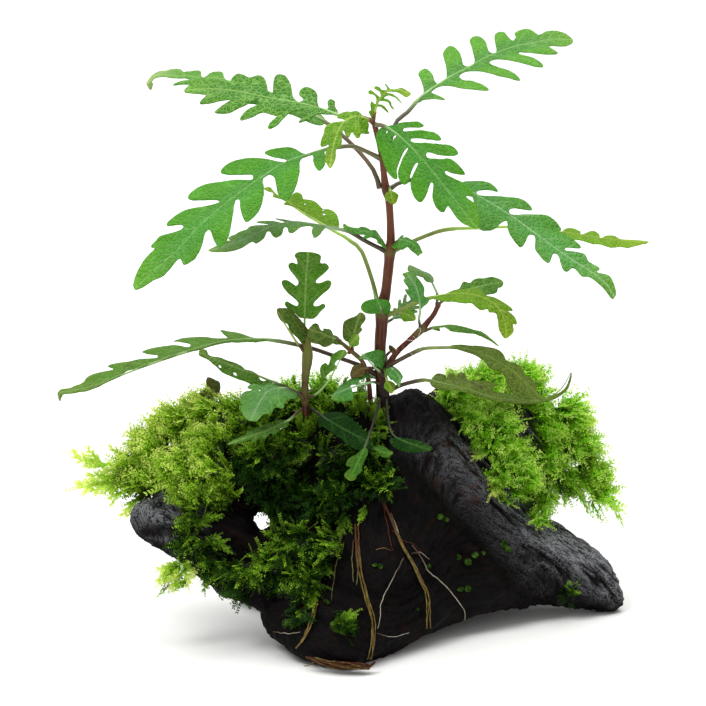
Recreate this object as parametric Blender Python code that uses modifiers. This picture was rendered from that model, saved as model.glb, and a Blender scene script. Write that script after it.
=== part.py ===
"""Hygrophila pinnatifida with moss on a piece of driftwood, built at real size.

Places are given as the viewer sees them, in millimetres: how far right of the middle, how far up
from the floor line at the front foot, and how far away behind that foot. seen() turns them into
world metres, +Z up, with the origin on the floor at the middle of the object's box.
"""

import math

import bmesh
import bpy
import numpy as np
from mathutils import Matrix, Vector, noise
from mathutils.bvhtree import BVHTree

# Driving dimensions, millimetres
MM = 0.001
VIEW_PITCH = math.radians(15)
VIEW_DISTANCE = 900
VIEW_MIDDLE_UP = 107.3
SHIFT_RIGHT = -1.75
SHIFT_BACK = -27.1
CLEARANCE = 0.45
WOOD_CLEARANCE = 0.7
LEAF_THICKNESS = 0.6
PETIOLE_HALF_WIDTH = 0.6
PETIOLE_FOLD = 0.35
TIP_HALF_WIDTH = 0.3
STALK_ROWS = (0.0, 0.5, 0.97)
FOOT_WIDTH = 0.12
# How much shallower the cuts between the lobes are at the tip than at the foot
SHALLOWER = 0.18
# Slant of the rows past the last lobe, degrees
TIP_SLANT = 72
# Rows of one lobe: how far along it, and how much of the lobe's length the row reaches
FINGER = ((0.0, 0.0), (0.2, 0.95), (0.6, 1.0))
POINT = ((0.0, 0.0), (0.42, 1.0))
# Rows of a leaf with no lobes: share of the blade and share of the reach
OVAL = ((0.0, 0.15), (0.2, 0.68), (0.45, 1.0), (0.72, 0.8), (0.9, 0.42))
WOOD_VOXEL = 2.0
WOOD_TRIANGLES = 700
WOOD_LUMP = 1.6
WOOD_LUMP_SIZE = 17.0
FORK_GAP = 0.4
ROOT_LIFT = 0.35
MOSS_VOXEL = 2.2
MOSS_LUMP = 1.3
MOSS_LUMP_SIZE = 9.0

VIEW_UP = Vector((0, math.sin(VIEW_PITCH), math.cos(VIEW_PITCH)))
VIEW_AWAY = Vector((0, math.cos(VIEW_PITCH), -math.sin(VIEW_PITCH)))
MIDDLE = Vector((SHIFT_RIGHT, SHIFT_BACK, VIEW_MIDDLE_UP * math.cos(VIEW_PITCH)))

# Driftwood: each stretch is the hull of balls given as (right, up, away, radius)
BODY_BALLS = [
    (21.3, 91.0, 42, 4.8),
    (33.0, 78.3, 50, 6.0),
    (48.3, 57.3, 56, 6.0),
    (-6.0, 78.3, 44, 9.0),
    (-22.7, 38.3, 30, 10.0),
    (9.0, 38.3, 22, 12.0),
    (-23.3, 17.7, 20, 7.0),
    (-2.7, 8.3, 8, 7.5),
    (-15.0, 11.0, 12, 6.0),
    (14.0, 17.7, 22, 8.0),
    (29.0, 25.0, 34, 8.5),
    (6.0, 58.3, 72, 12.0),
    (15.0, 36.0, 68, 10.0),
]
WOOD_STRETCHES = [
    BODY_BALLS,
    [
        (48.3, 57.3, 56, 6.0), (29.0, 25.0, 34, 8.5), (42.3, 28.3, 42, 7.0), (65.0, 43.0, 60, 8.0),
        (62.3, 33.3, 52, 9.5),
    ],
    [(65.7, 45.0, 64, 7.5), (62.3, 33.3, 54, 9.5), (79.0, 34.0, 60, 7.5), (85.0, 25.2, 58, 5.3)],
    [(-22.7, 38.3, 30, 10.0), (-39.3, 31.7, 27, 7.0), (-24.0, 28.0, 24, 8.0)],
    [(-39.3, 31.7, 27, 7.0), (-51.0, 41.7, 26, 7.5)],
    [(-51.0, 41.7, 26, 7.5), (-64.3, 48.3, 26, 6.5), (-67.7, 51.7, 25, 6.8), (-61.7, 53.3, 27, 6.0)],
    [(-51.0, 41.7, 26, 7.5), (-44.5, 52.0, 31, 8.0), (-60.0, 56.0, 29, 7.0), (-47.0, 66.0, 35, 8.0)],
    [(-6.0, 78.3, 44, 9.0), (-8.0, 62.0, 42, 10.0), (-34.3, 70.0, 38, 9.0), (-33.0, 60.5, 36, 6.0)],
    [(-39.3, 31.7, 27, 7.0), (-38.8, 50.5, 30, 4.6), (-44.5, 52.0, 31, 8.0)],
    [(-31.0, 40.8, 27, 6.0), (-38.8, 46.0, 29, 5.0), (-24.0, 36.0, 28, 8.0)],
    [(-34.3, 70.0, 38, 9.0), (-48.0, 70.0, 36, 8.0), (-60.0, 71.0, 34, 6.5)],
    [
        (33.0, 78.3, 52, 6.0), (48.3, 57.3, 60, 8.0), (39.0, 84.0, 74, 17.0), (55.7, 77.5, 74, 18.0),
        (49.0, 72.0, 76, 18.0),
    ],
    [(49.0, 66.0, 76, 14.0), (45.6, 36.4, 84, 9.0), (20.0, 45.0, 72, 10.0)],
    [(15.0, 36.0, 66, 9.0), (-31.6, 27.3, 66, 6.5), (-5.0, 36.0, 58, 9.0)],
]
# Forks: each limb is what lies in a block, given by its low and high corner (right, up, away)
FORKS = {
    "driftwood_left_limb": ((-110, 15, -10), (-31, 57, 90)),
    "driftwood_upper_left_bough": ((-110, 57.4, -10), (-31, 110, 90)),
    "driftwood_right_arm": ((51, 5, 20), (120, 49, 72)),
    "driftwood_rear_knob": ((12, 58, 65), (110, 120, 130)),
}

# Stems: points (right, up, away, radius)
STEMS = {
    "stem_main": [
        (11.0, 82.0, 41.0, 2.6),
        (10.3, 90.0, 37.5, 2.4),
        (9.4, 99.0, 34.5, 2.1),
        (9.0, 108.3, 32.0, 2.05),
        (9.5, 116.0, 30.2, 2.05),
        (9.7, 120.0, 29.5, 2.35),
        (10.2, 124.5, 28.6, 1.95),
        (11.0, 128.3, 27.5, 1.75),
        (12.0, 137.5, 25.2, 1.7),
        (12.3, 141.0, 24.5, 2.1),
        (12.6, 145.0, 23.5, 1.4),
        (12.4, 152.0, 21.6, 1.3),
        (11.9, 158.5, 19.9, 1.25),
        (11.0, 161.7, 19.0, 1.5),
        (10.3, 167.0, 17.6, 1.05),
        (10.0, 171.7, 16.5, 1.2),
        (8.6, 177.5, 15.2, 0.85),
        (7.3, 183.0, 13.8, 0.9),
    ],
    "stem_side": [
        (12.3, 104.0, 32.2, 1.1),
        (14.5, 107.4, 30.8, 1.0),
        (18.5, 111.2, 28.2, 0.95),
        (22.7, 115.0, 26.0, 1.25),
        (25.2, 118.0, 25.4, 0.9),
        (27.0, 120.3, 25.0, 0.85),
        (28.2, 122.8, 24.5, 0.9),
    ],
    "stem_second": [
        (-14.8, 76.0, 39.0, 1.3),
        (-15.5, 83.0, 33.0, 1.2),
        (-15.8, 88.3, 30.3, 1.2),
        (-16.1, 93.0, 29.3, 1.3),
        (-16.0, 98.0, 28.3, 1.2),
        (-15.6, 102.0, 27.5, 1.6),
        (-15.2, 106.0, 26.7, 2.0),
        (-15.0, 110.0, 26.0, 1.3),
    ],
    "stem_third": [
        (6.0, 84.0, 40.0, 0.9),
        (5.8, 92.0, 35.5, 0.85),
        (5.0, 99.0, 32.0, 0.8),
        (3.2, 104.3, 29.6, 0.75),
        (-0.3, 107.7, 28.0, 0.8),
        (-4.0, 110.8, 27.0, 0.65),
    ],
}

FRONT = (0.0, 0.3, -0.95)

# Leaves: path (right, up, away) from the stem to the tip, the number of points before the blade,
# lobes on a side, reach of the longest lobe, slant of the lobes at the foot and at the tip, width left
# between two cuts as a share of the reach, and the way the upper face looks
LEAVES = {
    "leaf_left_large": dict(
        path=[(8.2, 172.6, 16), (4, 174.7, 15), (-0.1, 176.2, 14), (-5, 175.9, 12.5),
              (-9.7, 175, 11), (-13.3, 174, 9.5), (-22.3, 171, 5), (-30.7, 165.7, 0.5),
              (-38.1, 160.5, -4), (-45.7, 154.5, -9), (-52.3, 148.5, -13.5), (-58.3, 141.7, -18),
              (-65.1, 135.7, -22), (-72.7, 128.7, -26)],
        bare=4, lobes=5, reach=20.5, slant=(50, 36), cut=0.14, face=(-0.1, 0.73, -0.67), shape=FINGER),
    "leaf_left_top_front": dict(
        path=[(5.8, 184.9, 13.4), (2.5, 186.0, 13.2), (-1.5, 186.4, 13), (-5.1, 186.7, 13),
              (-11.1, 189, 14), (-19.3, 190.9, 16), (-27.7, 192.3, 18.5), (-35.2, 193.9, 21),
              (-42.7, 195, 24), (-50.1, 195.3, 27), (-56.1, 194.7, 30)],
        bare=3, lobes=5, reach=13, slant=(66, 46), cut=0.3, face=(0.1, 0.62, -0.77), shape=FINGER),
    "leaf_left_top_rear": dict(
        path=[(8.5, 163.4, 19.3), (7.4, 167.2, 20.3), (4.5, 171.5, 21.5), (0.3, 176.2, 23.5),
              (-3, 179.3, 25), (-8.3, 183.7, 27.5), (-15, 187.5, 31), (-27.7, 194.3, 36),
              (-42.3, 198.3, 41), (-56.1, 199.5, 45), (-64.3, 199.8, 47), (-67.6, 197.8, 47.8),
              (-67.4, 194.5, 48)],
        bare=6, lobes=5, reach=9, slant=(60, 45), cut=0.4, face=(0, 0.9, -0.42)),
    "leaf_right_top": dict(
        path=[(11.4, 173.2, 17), (12.4, 177.5, 18.3), (14.3, 184.1, 20), (18.3, 187.7, 22),
              (22.5, 192.4, 24), (30, 198, 27), (37.5, 202.1, 30), (45, 206.1, 33), (52.5, 209, 36),
              (60, 210.7, 38.5), (67.5, 211.9, 41), (73.3, 211.5, 43)],
        bare=4, lobes=5, reach=16, slant=(62, 42), cut=0.1, face=(-0.13, 0.73, -0.67), shape=FINGER),
    "leaf_front": dict(
        path=[(8.3, 183.3, 12.4), (9.6, 183.2, 10.8), (11.6, 182.3, 8.8), (15.3, 179.8, 5),
              (19.5, 175.9, 0.5), (24, 171, -4.5), (28.7, 165.2, -9.5), (33.4, 159.2, -14.5),
              (37.6, 153.8, -19), (41.4, 149.2, -23)],
        bare=2, lobes=5, reach=15.5, slant=(58, 40), cut=0.28, face=(-0.55, 0.31, -0.77), shape=FINGER),
    "leaf_right_large": dict(
        path=[(12.9, 162.4, 19.6), (16.2, 164.2, 21.5), (25.7, 165.9, 23), (34, 163.8, 21.5),
              (40, 160.7, 18.5), (51.7, 153.6, 12), (59.5, 148, 7.5), (66, 143.2, 3.5),
              (73, 138.3, -0.5), (80, 133.8, -4), (84.5, 130, -6.5), (87.2, 125.6, -8)],
        bare=2, lobes=6, reach=13.5, slant=(56, 38), cut=0.24, face=(0.06, 0.7, -0.71), shape=FINGER),
    "leaf_left_middle": dict(
        path=[(10.1, 141.6, 24.2), (4, 144.7, 21), (-1, 147.7, 19), (-4.3, 148.5, 18),
              (-11.1, 150, 16), (-20.1, 151.1, 13), (-27.7, 149.3, 10), (-35.1, 145.5, 8),
              (-47.9, 141.3, 5)],
        bare=3, lobes=5, reach=10, slant=(62, 40), cut=0.3, face=(0.25, 0.88, -0.42)),
    "leaf_left_rear": dict(
        path=[(8.0, 122.0, 31.0), (7.3, 128.3, 32.5), (3, 141, 38), (-0.5, 144.3, 40.3),
              (-2.7, 146, 41), (-9.3, 149.9, 44), (-16.7, 154.2, 47), (-23, 158.6, 50),
              (-29.1, 162.3, 53)],
        bare=4, lobes=5, reach=10.5, slant=(68, 50), cut=0.35, face=(0.35, 0.62, -0.7), left=0.35),
    "leaf_right_middle": dict(
        path=[(14.5, 141.8, 24.6), (21, 145, 27), (29, 148, 30), (35, 148.8, 32), (40, 149.1, 33.5),
              (50, 149.6, 37), (62, 149, 41), (74, 147, 44.5), (86, 145.2, 47.5), (98.2, 144.1, 50)],
        bare=3, lobes=6, reach=10.5, slant=(60, 40), cut=0.3, face=(0, 0.92, -0.39)),
    "leaf_right_drooping": dict(
        path=[(12.4, 120.3, 28.6), (17.3, 122.3, 26), (22.7, 124.7, 23.4), (26.3, 125.8, 20.5),
              (30.5, 126.8, 16.5), (36, 127.1, 13), (41, 126.5, 10), (45.7, 124.5, 7.5),
              (48.9, 121.6, 5.5), (50.6, 117.5, 4), (51.2, 112.1, 2.5)],
        bare=3, lobes=5, reach=8.5, slant=(60, 45), cut=0.5, face=(0.2, 0.72, -0.66)),
    "leaf_right_dark": dict(
        path=[(28.9, 123.9, 25.5), (31, 125.4, 27), (33.5, 126.8, 28.6), (37, 128, 30),
              (42, 129.3, 31.8), (50, 131, 34)],
        bare=2, lobes=3, reach=6, slant=(62, 48), cut=0.55, face=(-0.1, 0.62, -0.78)),
    "leaf_shoot_glaucous": dict(
        path=[(22.3, 116.5, 24.4), (22.0, 118.6, 21.6), (22.4, 122, 18.6), (21.8, 126.5, 16.4),
              (20.3, 130.6, 15.4), (17.3, 134.3, 15)],
        bare=1, lobes=3, reach=6.3, slant=(60, 45), cut=0.45, face=FRONT),
    "leaf_shoot_grey": dict(
        path=[(28.0, 124.4, 24.9), (28.0, 127.3, 27), (26.7, 130.5, 28.5), (25, 133.2, 29.6),
              (18.6, 136.3, 31)],
        bare=1, lobes=3, reach=4.5, slant=(60, 45), cut=0.5, face=(0.5, 0.8, -0.3)),
    "leaf_arched_narrow": dict(
        path=[(24.7, 115.0, 25.6), (27.2, 115.9, 23), (31.3, 116.5, 21), (36, 116.2, 19),
              (40.9, 114.7, 17.5), (45.7, 112.1, 16), (48.7, 109.3, 15)],
        bare=1, lobes=3, reach=3.6, slant=(60, 45), cut=0.55, face=(0.2, 0.93, -0.3)),
    "leaf_over_moss": dict(
        path=[(12.0, 103.1, 30.9), (14.2, 104.3, 29.0), (18.7, 106.7, 27.4), (23.3, 108.7, 26),
              (28, 109.3, 25), (33.9, 109.3, 24), (39, 108.3, 24), (45.3, 106, 24),
              (51.7, 102.2, 24.5), (57.3, 97.5, 25), (61.7, 93.3, 26)],
        bare=3, lobes=5, reach=9.5, slant=(62, 42), cut=0.4, face=(0.2, 0.82, -0.53)),
    "leaf_tip_up": dict(
        path=[(13.2, 95.3, 35.2), (17.3, 97, 34.5), (24.2, 98.3, 34), (30.5, 97, 33),
              (37.7, 95.3, 32), (45.3, 92.8, 31.5), (51.7, 91.7, 31), (58.2, 91.1, 31),
              (64.6, 92.5, 31.5), (69.2, 95.2, 32), (72.9, 101.3, 33)],
        bare=2, lobes=5, reach=8, slant=(62, 42), cut=0.36, face=(0.05, 0.88, -0.47)),
    "leaf_base_front": dict(
        path=[(9.4, 100.2, 31.4), (8.6, 101.4, 28.5), (7.3, 102.6, 26.8), (5.4, 104.6, 25.6),
              (2.6, 107.4, 25)],
        bare=1, lobes=0, reach=4.2, slant=(55, 45), cut=0, face=FRONT),
    "leaf_base_left": dict(
        path=[(8.2, 97.3, 32.4), (6.4, 97.6, 29.0), (3, 97, 26.5), (-2, 95.2, 25), (-7.7, 93, 24.4)],
        bare=1, lobes=2, reach=4.6, slant=(60, 45), cut=0.6, face=(0, 0.6, -0.8)),
    "leaf_base_right": dict(
        path=[(11.8, 98.9, 32.6), (13, 98.6, 29.0), (14.6, 97.4, 27), (16.4, 95.5, 26),
              (18, 92.6, 25.5)],
        bare=1, lobes=0, reach=3.6, slant=(55, 45), cut=0, face=(0.2, 0.5, -0.84)),
    "leaf_oak_upright": dict(
        path=[(-15.5, 112.2, 25.3), (-16.1, 114.5, 24.9), (-16.1, 119.7, 24), (-15.9, 126, 22.8),
              (-15.6, 133, 21.4), (-14.9, 140.8, 20)],
        bare=1, lobes=3, reach=11.2, slant=(66, 55), cut=0.3, face=(0, 0.25, -0.97), terminal=0.56,
        shape=FINGER),
    "leaf_oak_left": dict(
        path=[(-17.0, 108.6, 25.2), (-18.5, 110.5, 22.4), (-20.5, 113.6, 21), (-22.7, 117, 20),
              (-25.3, 121.2, 19.2)],
        bare=1, lobes=2, reach=5.6, slant=(62, 48), cut=0.55, face=(0.1, 0.3, -0.95)),
    "leaf_shoot_dark": dict(
        path=[(-5.2, 111.5, 26.1), (-6.3, 112.0, 24.3), (-8.5, 112.9, 22.2), (-11, 114, 20.6),
              (-14.2, 115, 19.6)],
        bare=1, lobes=2, reach=4.5, slant=(60, 45), cut=0.6, face=(0, 0.55, -0.83)),
    "leaf_shoot_upright": dict(
        path=[(-0.2, 109.2, 27.2), (-0.1, 111.2, 26), (0.3, 113.5, 25.2), (1.2, 116.8, 24.4),
              (2.5, 120.7, 23.8)],
        bare=1, lobes=0, reach=4.6, slant=(52, 42), cut=0, face=(0.1, 0.2, -0.97)),
    "leaf_long_low": dict(
        path=[(6.6, 100.8, 33.8), (2, 103.3, 33), (-4.7, 105.7, 32.3), (-11.3, 108.1, 31.8),
              (-17, 109.7, 31), (-28.3, 111.7, 29), (-41.4, 111.5, 26), (-55.4, 107.9, 22),
              (-66, 104.3, 19), (-75.4, 100.8, 16.5), (-85.2, 96.7, 14), (-93.7, 94.6, 12),
              (-97.6, 93.9, 11), (-97.9, 91.0, 10.5)],
        bare=5, lobes=6, reach=8.5, slant=(56, 40), cut=0.5, face=(0.15, 0.93, -0.33)),
    "leaf_low_left_a": dict(
        path=[(-17.9, 93.9, 28.6), (-22.3, 95.9, 27), (-26, 97.5, 25), (-31.7, 99.9, 22),
              (-40, 102.8, 17), (-50.3, 107.0, 12)],
        bare=2, lobes=3, reach=4.6, slant=(62, 45), cut=0.68, face=(0.3, 0.6, -0.74)),
    "leaf_low_left_b": dict(
        path=[(-16.9, 92.4, 27.4), (-19.3, 94.4, 24.6), (-23.4, 95.6, 19.5), (-28.4, 94.4, 15),
              (-31.7, 89.7, 13.2), (-34.2, 84.7, 12.2)],
        bare=2, lobes=3, reach=7.8, slant=(66, 52), cut=0.72, face=(-0.1, 0.5, -0.86)),
    "leaf_low_dark_left": dict(
        path=[(-17.4, 88.3, 28.4), (-18.6, 87.5, 24), (-21.3, 85, 19.5), (-28, 81.7, 15.5),
              (-35, 79.2, 13.4), (-41.8, 76.8, 12.2)],
        bare=2, lobes=2, reach=2.9, slant=(60, 45), cut=0.7, face=(0.1, 0.72, -0.69)),
    "leaf_low_centre": dict(
        path=[(-14.4, 88.6, 28.6), (-13, 88.1, 25), (-9.4, 85.6, 20.5), (-4, 82.4, 17.8),
              (1, 79.7, 16.6), (5.9, 77, 16)],
        bare=2, lobes=2, reach=3.6, slant=(60, 45), cut=0.65, face=(0, 0.65, -0.76)),
    "leaf_low_bright": dict(
        path=[(9.0, 92.0, 33.6), (8, 88, 27), (6, 81.5, 18.5), (4, 76, 12.5), (1.6, 70.8, 10.2),
              (-1.2, 65, 9)],
        bare=3, lobes=3, reach=4.2, slant=(60, 45), cut=0.5, face=(-0.2, 0.25, -0.95)),
    "leaf_low_right": dict(
        path=[(11.0, 91.3, 33.6), (11.6, 86, 27.5), (13, 80.5, 22.5), (17.5, 77.7, 20.7),
              (22, 76.1, 20.2), (26, 74.8, 20)],
        bare=2, lobes=2, reach=3.8, slant=(58, 45), cut=0.7, face=(0, 0.6, -0.8)),
    "leaf_small_fern": dict(
        path=[(-14.2, 92.8, 28.0), (-12.3, 93.6, 25.4), (-9, 97, 23.6), (-5.9, 102, 22.4),
              (-2.9, 108.2, 21.4)],
        bare=1, lobes=3, reach=3.4, slant=(62, 48), cut=0.35, face=FRONT),
    "leaf_young_top": dict(
        path=[(7.0, 184.7, 14.4), (7.4, 188.0, 13.6), (8.0, 190.2, 13), (9.4, 192.7, 12),
              (12, 194.8, 11), (15.4, 195, 10), (19, 193.7, 9)],
        bare=1, lobes=3, reach=5.2, slant=(70, 45), cut=0.14, face=(0.1, 0.2, -0.97)),
    "leaf_young_left": dict(
        path=[(6.3, 183.9, 12.5), (4.7, 185.3, 10), (0.8, 186.3, 8), (-3.8, 183.4, 5.4),
              (-6.4, 176.8, 3), (-7.7, 169.3, 1)],
        bare=1, lobes=3, reach=5.2, slant=(64, 45), cut=0.45, face=(-0.2, 0.35, -0.9)),
    "leaf_node_left": dict(
        path=[(10.6, 142.9, 22.6), (8.9, 145.6, 19.8), (5.5, 147.6, 17.4), (2, 148.7, 15.8),
              (-2.6, 150, 14.6)],
        bare=1, lobes=0, reach=2.4, slant=(50, 40), cut=0, face=(0.1, 0.8, -0.6)),
    "leaf_node_right": dict(
        path=[(13.6, 142.7, 22.2), (15.6, 145.2, 20.0), (18.3, 145.5, 18.6), (20.7, 143.6, 17.8),
              (22.1, 139.8, 17.4)],
        bare=1, lobes=0, reach=2.6, slant=(50, 40), cut=0, face=(0.1, 0.75, -0.66)),
    "leaf_node_round": dict(
        path=[(9.7, 120.6, 26.4), (9.2, 122.3, 23.8), (8.3, 124.5, 22.2), (7.3, 126.8, 21.2),
              (6.2, 129.6, 20.6)],
        bare=1, lobes=0, reach=5.2, slant=(60, 50), cut=0, face=(-0.05, 0.25, -0.97)),
}

# Moss cushions: balls (right, up, away, radius), with away None where the ball sits on the wood's front
MOSS = {
    "moss_left": [
        (-90.0, 71.0, 30, 4.5), (-82.0, 69.0, 30, 7.0), (-72.0, 74.0, 31, 9.0), (-60.0, 81.0, 33, 10.0),
        (-48.0, 82.0, 35, 10.5), (-76.0, 61.0, 28, 6.5), (-66.0, 64.0, 28, 8.5), (-56.0, 66.0, 25, 9.0),
        (-46.0, 66.0, 26, 9.5), (-52.0, 57.0, None, 6.0), (-42.0, 59.0, None, 6.0),
    ],
    "moss_centre": [
        (-34.0, 82.0, 38, 10.5), (-22.0, 88.0, 44, 10.0), (-10.0, 90.0, 45, 9.0), (1.0, 90.5, 46, 7.0),
        (-30.0, 70.0, 27, 9.5), (-18.0, 74.0, None, 8.5), (-6.0, 70.0, None, 9.0),
        (4.0, 72.0, None, 8.0),
        (8.0, 62.0, None, 5.5), (-8.0, 56.0, None, 8.5), (-22.0, 58.0, 29, 8.5),
    ],
    "moss_lower": [
        (-18.0, 42.0, None, 9.0), (-8.0, 42.0, None, 7.0), (-26.0, 36.0, None, 8.0),
        (-16.0, 30.0, None, 6.5),
        (-17.0, 21.5, None, 3.6), (-36.0, 33.0, None, 7.5), (-48.0, 40.0, None, 7.0),
        (-56.0, 44.0, None, 5.0),
    ],
    "moss_hanging_tuft": [(-60.0, 34.5, 17, 4.5), (-64.5, 31.0, 17, 3.2), (-54.5, 31.0, 18, 4.0)],
    "moss_right": [
        (35.0, 92.0, 52, 8.5), (45.0, 96.0, 56, 9.0), (56.0, 95.0, 58, 8.5), (43.0, 84.0, None, 8.0),
        (52.0, 80.0, None, 9.5), (56.0, 68.0, None, 8.5), (61.5, 60.0, None, 7.0),
        (62.6, 51.8, None, 3.8),
    ],
    "moss_right_rear": [
        (70.0, 86.0, 60, 7.5), (74.0, 77.0, 58, 7.5), (78.0, 68.0, 57, 7.5), (84.0, 62.0, 56, 5.0),
        (90.0, 53.5, 55, 3.5), (69.0, 66.0, 58, 5.5),
    ],
    "moss_sprig_front": [(-6.0, 18.5, None, 3.4), (-2.5, 15.5, None, 3.4)],
    "moss_sprig_middle": [(47.0, 62.5, None, 3.2)],
    "moss_sprig_right": [(71.3, 27.0, None, 3.2)],
}
MOSS_TRIANGLES = {
    "moss_left": 160, "moss_centre": 195, "moss_lower": 150, "moss_hanging_tuft": 56, "moss_right": 150,
    "moss_right_rear": 120, "moss_sprig_front": 50, "moss_sprig_middle": 36, "moss_sprig_right": 36,
}
# Flat joints between neighbouring cushions: cushion, a place on the joint, and which side is taken off
MOSS_JOINTS = [
    ("moss_left", (-40.3, 75, 30), (1, 0, 0)),
    ("moss_centre", (-39.9, 75, 30), (-1, 0, 0)),
    ("moss_centre", (-20, 50.3, 25), (0, -1, 0)),
    ("moss_lower", (-20, 49.9, 25), (0, 1, 0)),
    ("moss_right", (66.3, 75, 60), (1, 0, 0)),
    ("moss_right_rear", (66.7, 75, 60), (-1, 0, 0)),
]

# Roots on the wood's front: points (right, up) and the radius, with how far off the wood they lie
ROOTS = {
    "root_front_long": ([(1, 50.3), (1.5, 42), (2, 33.7), (4.7, 25.7), (6.5, 17.7), (7, 11.3),
                         (6.4, 8), (5.7, 5.4)], 0.9),
    "root_middle": ([(9.7, 58.3), (13.7, 50.3), (16.3, 43.7), (20.3, 36.3), (23.3, 30.7), (25.3, 25.7),
                     (25.7, 20.3)], 0.8),
    "root_thin_right": ([(21.5, 42), (24.8, 36.3), (29.3, 31.7), (33.3, 26), (37.3, 21)], 0.5),
    "root_thin_left": ([(15.3, 36.5), (12.5, 31), (10.6, 26.7), (9.6, 22), (9.4, 17)], 0.5),
    "root_low_left": ([(-10.2, 24.5), (-11.7, 20), (-14, 14.7), (-18, 9.5)], 0.5),
}
TUFT = [(-15.0, 5.6, 2.0, 0.9), (-8.0, 3.6, 0.5, 1.5), (0.0, 3.0, -0.5, 1.7), (4.5, 3.6, -0.8, 1.2)]

COLOURS = {
    "driftwood": ((0.014, 0.012, 0.013), 0.6),
    "stem": ((0.11, 0.032, 0.022), 0.45),
    "leaf": ((0.09, 0.28, 0.035), 0.45),
    "moss": ((0.16, 0.36, 0.02), 0.7),
    "root": ((0.23, 0.17, 0.07), 0.6),
}


def seen(right, up, away):
    """World place, in metres, of a point given as the viewer sees it."""
    grown = 1 + away / VIEW_DISTANCE
    rise = (up - VIEW_MIDDLE_UP) * grown
    return MM * (MIDDLE + Vector((right * grown, 0, 0)) + rise * VIEW_UP + away * VIEW_AWAY)


def looking(direction):
    """World direction of one given as right, up, away."""
    right, up, away = direction
    return (Vector((right, 0, 0)) + up * VIEW_UP + away * VIEW_AWAY).normalized()


def make_material(name):
    colour, roughness = COLOURS[name]
    material = bpy.data.materials.new(name)
    material.use_nodes = True
    shader = material.node_tree.nodes["Principled BSDF"]
    shader.inputs["Base Color"].default_value = (*colour, 1)
    shader.inputs["Roughness"].default_value = roughness
    shader.inputs["Metallic"].default_value = 0
    return material


def add_object(name, data, collection, material=None):
    obj = bpy.data.objects.new(name, data)
    collection.objects.link(obj)
    if material is not None:
        data.materials.append(material)
    return obj


def mesh_object(name, bm, collection, material=None):
    mesh = bpy.data.meshes.new(name)
    bm.to_mesh(mesh)
    bm.free()
    return add_object(name, mesh, collection, material)


def settle(obj):
    """Replaces the object's mesh by the one its modifiers give, and takes them off."""
    graph = bpy.context.evaluated_depsgraph_get()
    made = bpy.data.meshes.new_from_object(obj.evaluated_get(graph), depsgraph=graph)
    obj.modifiers.clear()
    obj.data = made
    return obj


def cut_with(obj, cutter, operation="DIFFERENCE"):
    change = obj.modifiers.new("cut", "BOOLEAN")
    change.operation = operation
    change.object = cutter
    settle(obj)


def keep_largest_body(obj):
    """Removes the loose crumbs that a cut can leave."""
    bm = bmesh.new()
    bm.from_mesh(obj.data)
    unseen = set(bm.verts)
    bodies = []
    while unseen:
        found = [unseen.pop()]
        body = set(found)
        while found:
            for edge in found.pop().link_edges:
                for vert in edge.verts:
                    if vert in unseen:
                        unseen.remove(vert)
                        body.add(vert)
                        found.append(vert)
        bodies.append(body)
    bodies.sort(key=len)
    crumbs = [vert for body in bodies[:-1] for vert in body]
    bmesh.ops.delete(bm, geom=crumbs, context="VERTS")
    bm.to_mesh(obj.data)
    bm.free()


def hull_of_balls(balls):
    """One convex solid around balls given as (right, up, away, radius)."""
    bm = bmesh.new()
    for right, up, away, radius in balls:
        place = Matrix.Translation(seen(right, up, away))
        grown = 1 + away / VIEW_DISTANCE
        bmesh.ops.create_icosphere(bm, subdivisions=2, radius=radius * grown * MM, matrix=place)
    bmesh.ops.delete(bm, geom=bm.faces[:], context="FACES_ONLY")
    bmesh.ops.delete(bm, geom=bm.edges[:], context="EDGES_FACES")
    bmesh.ops.convex_hull(bm, input=bm.verts)
    bmesh.ops.delete(bm, geom=[vert for vert in bm.verts if not vert.link_faces], context="VERTS")
    bmesh.ops.recalc_face_normals(bm, faces=bm.faces)
    return bm


def merged_solid(name, groups, voxel, collection):
    """The hulls of several groups of balls, run together into one closed skin."""
    joined = bmesh.new()
    for balls in groups:
        part = hull_of_balls(balls)
        mesh = bpy.data.meshes.new("hull")
        part.to_mesh(mesh)
        part.free()
        joined.from_mesh(mesh)
        bpy.data.meshes.remove(mesh)
    obj = mesh_object(name, joined, collection)
    remesh = obj.modifiers.new("run together", "REMESH")
    remesh.mode = "VOXEL"
    remesh.voxel_size = voxel * MM
    soften = obj.modifiers.new("soften", "SMOOTH")
    soften.factor = 0.5
    soften.iterations = 4
    return settle(obj)


def roughen(obj, amount, size, seed):
    """Moves each point in or out by smooth noise."""
    offset = Vector((seed, 3.7 * seed, 1.3 * seed))
    normals = [vert.normal.copy() for vert in obj.data.vertices]
    for vert, normal in zip(obj.data.vertices, normals):
        wave = noise.noise(vert.co / (size * MM) + offset)
        vert.co += normal * amount * MM * wave
    obj.data.update()


def thin_to(obj, triangles):
    count = sum(len(face.vertices) - 2 for face in obj.data.polygons)
    fewer = obj.modifiers.new("fewer faces", "DECIMATE")
    fewer.ratio = min(1, triangles / count)
    settle(obj)


def swollen_copy(obj, name, amount, collection):
    """A copy of a solid with every face moved outwards, as a cutter that leaves a gap."""
    copy = add_object(name, obj.data.copy(), collection)
    normals = [vert.normal.copy() for vert in copy.data.vertices]
    for vert, normal in zip(copy.data.vertices, normals):
        vert.co += normal * amount * MM
    copy.data.update()
    return copy


def block(name, size, place, collection):
    bm = bmesh.new()
    bmesh.ops.create_cube(bm, size=1)
    bmesh.ops.scale(bm, vec=Vector(size) * MM, verts=bm.verts)
    bmesh.ops.transform(bm, matrix=place, verts=bm.verts)
    bmesh.ops.recalc_face_normals(bm, faces=bm.faces)
    return mesh_object(name, bm, collection)


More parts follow.
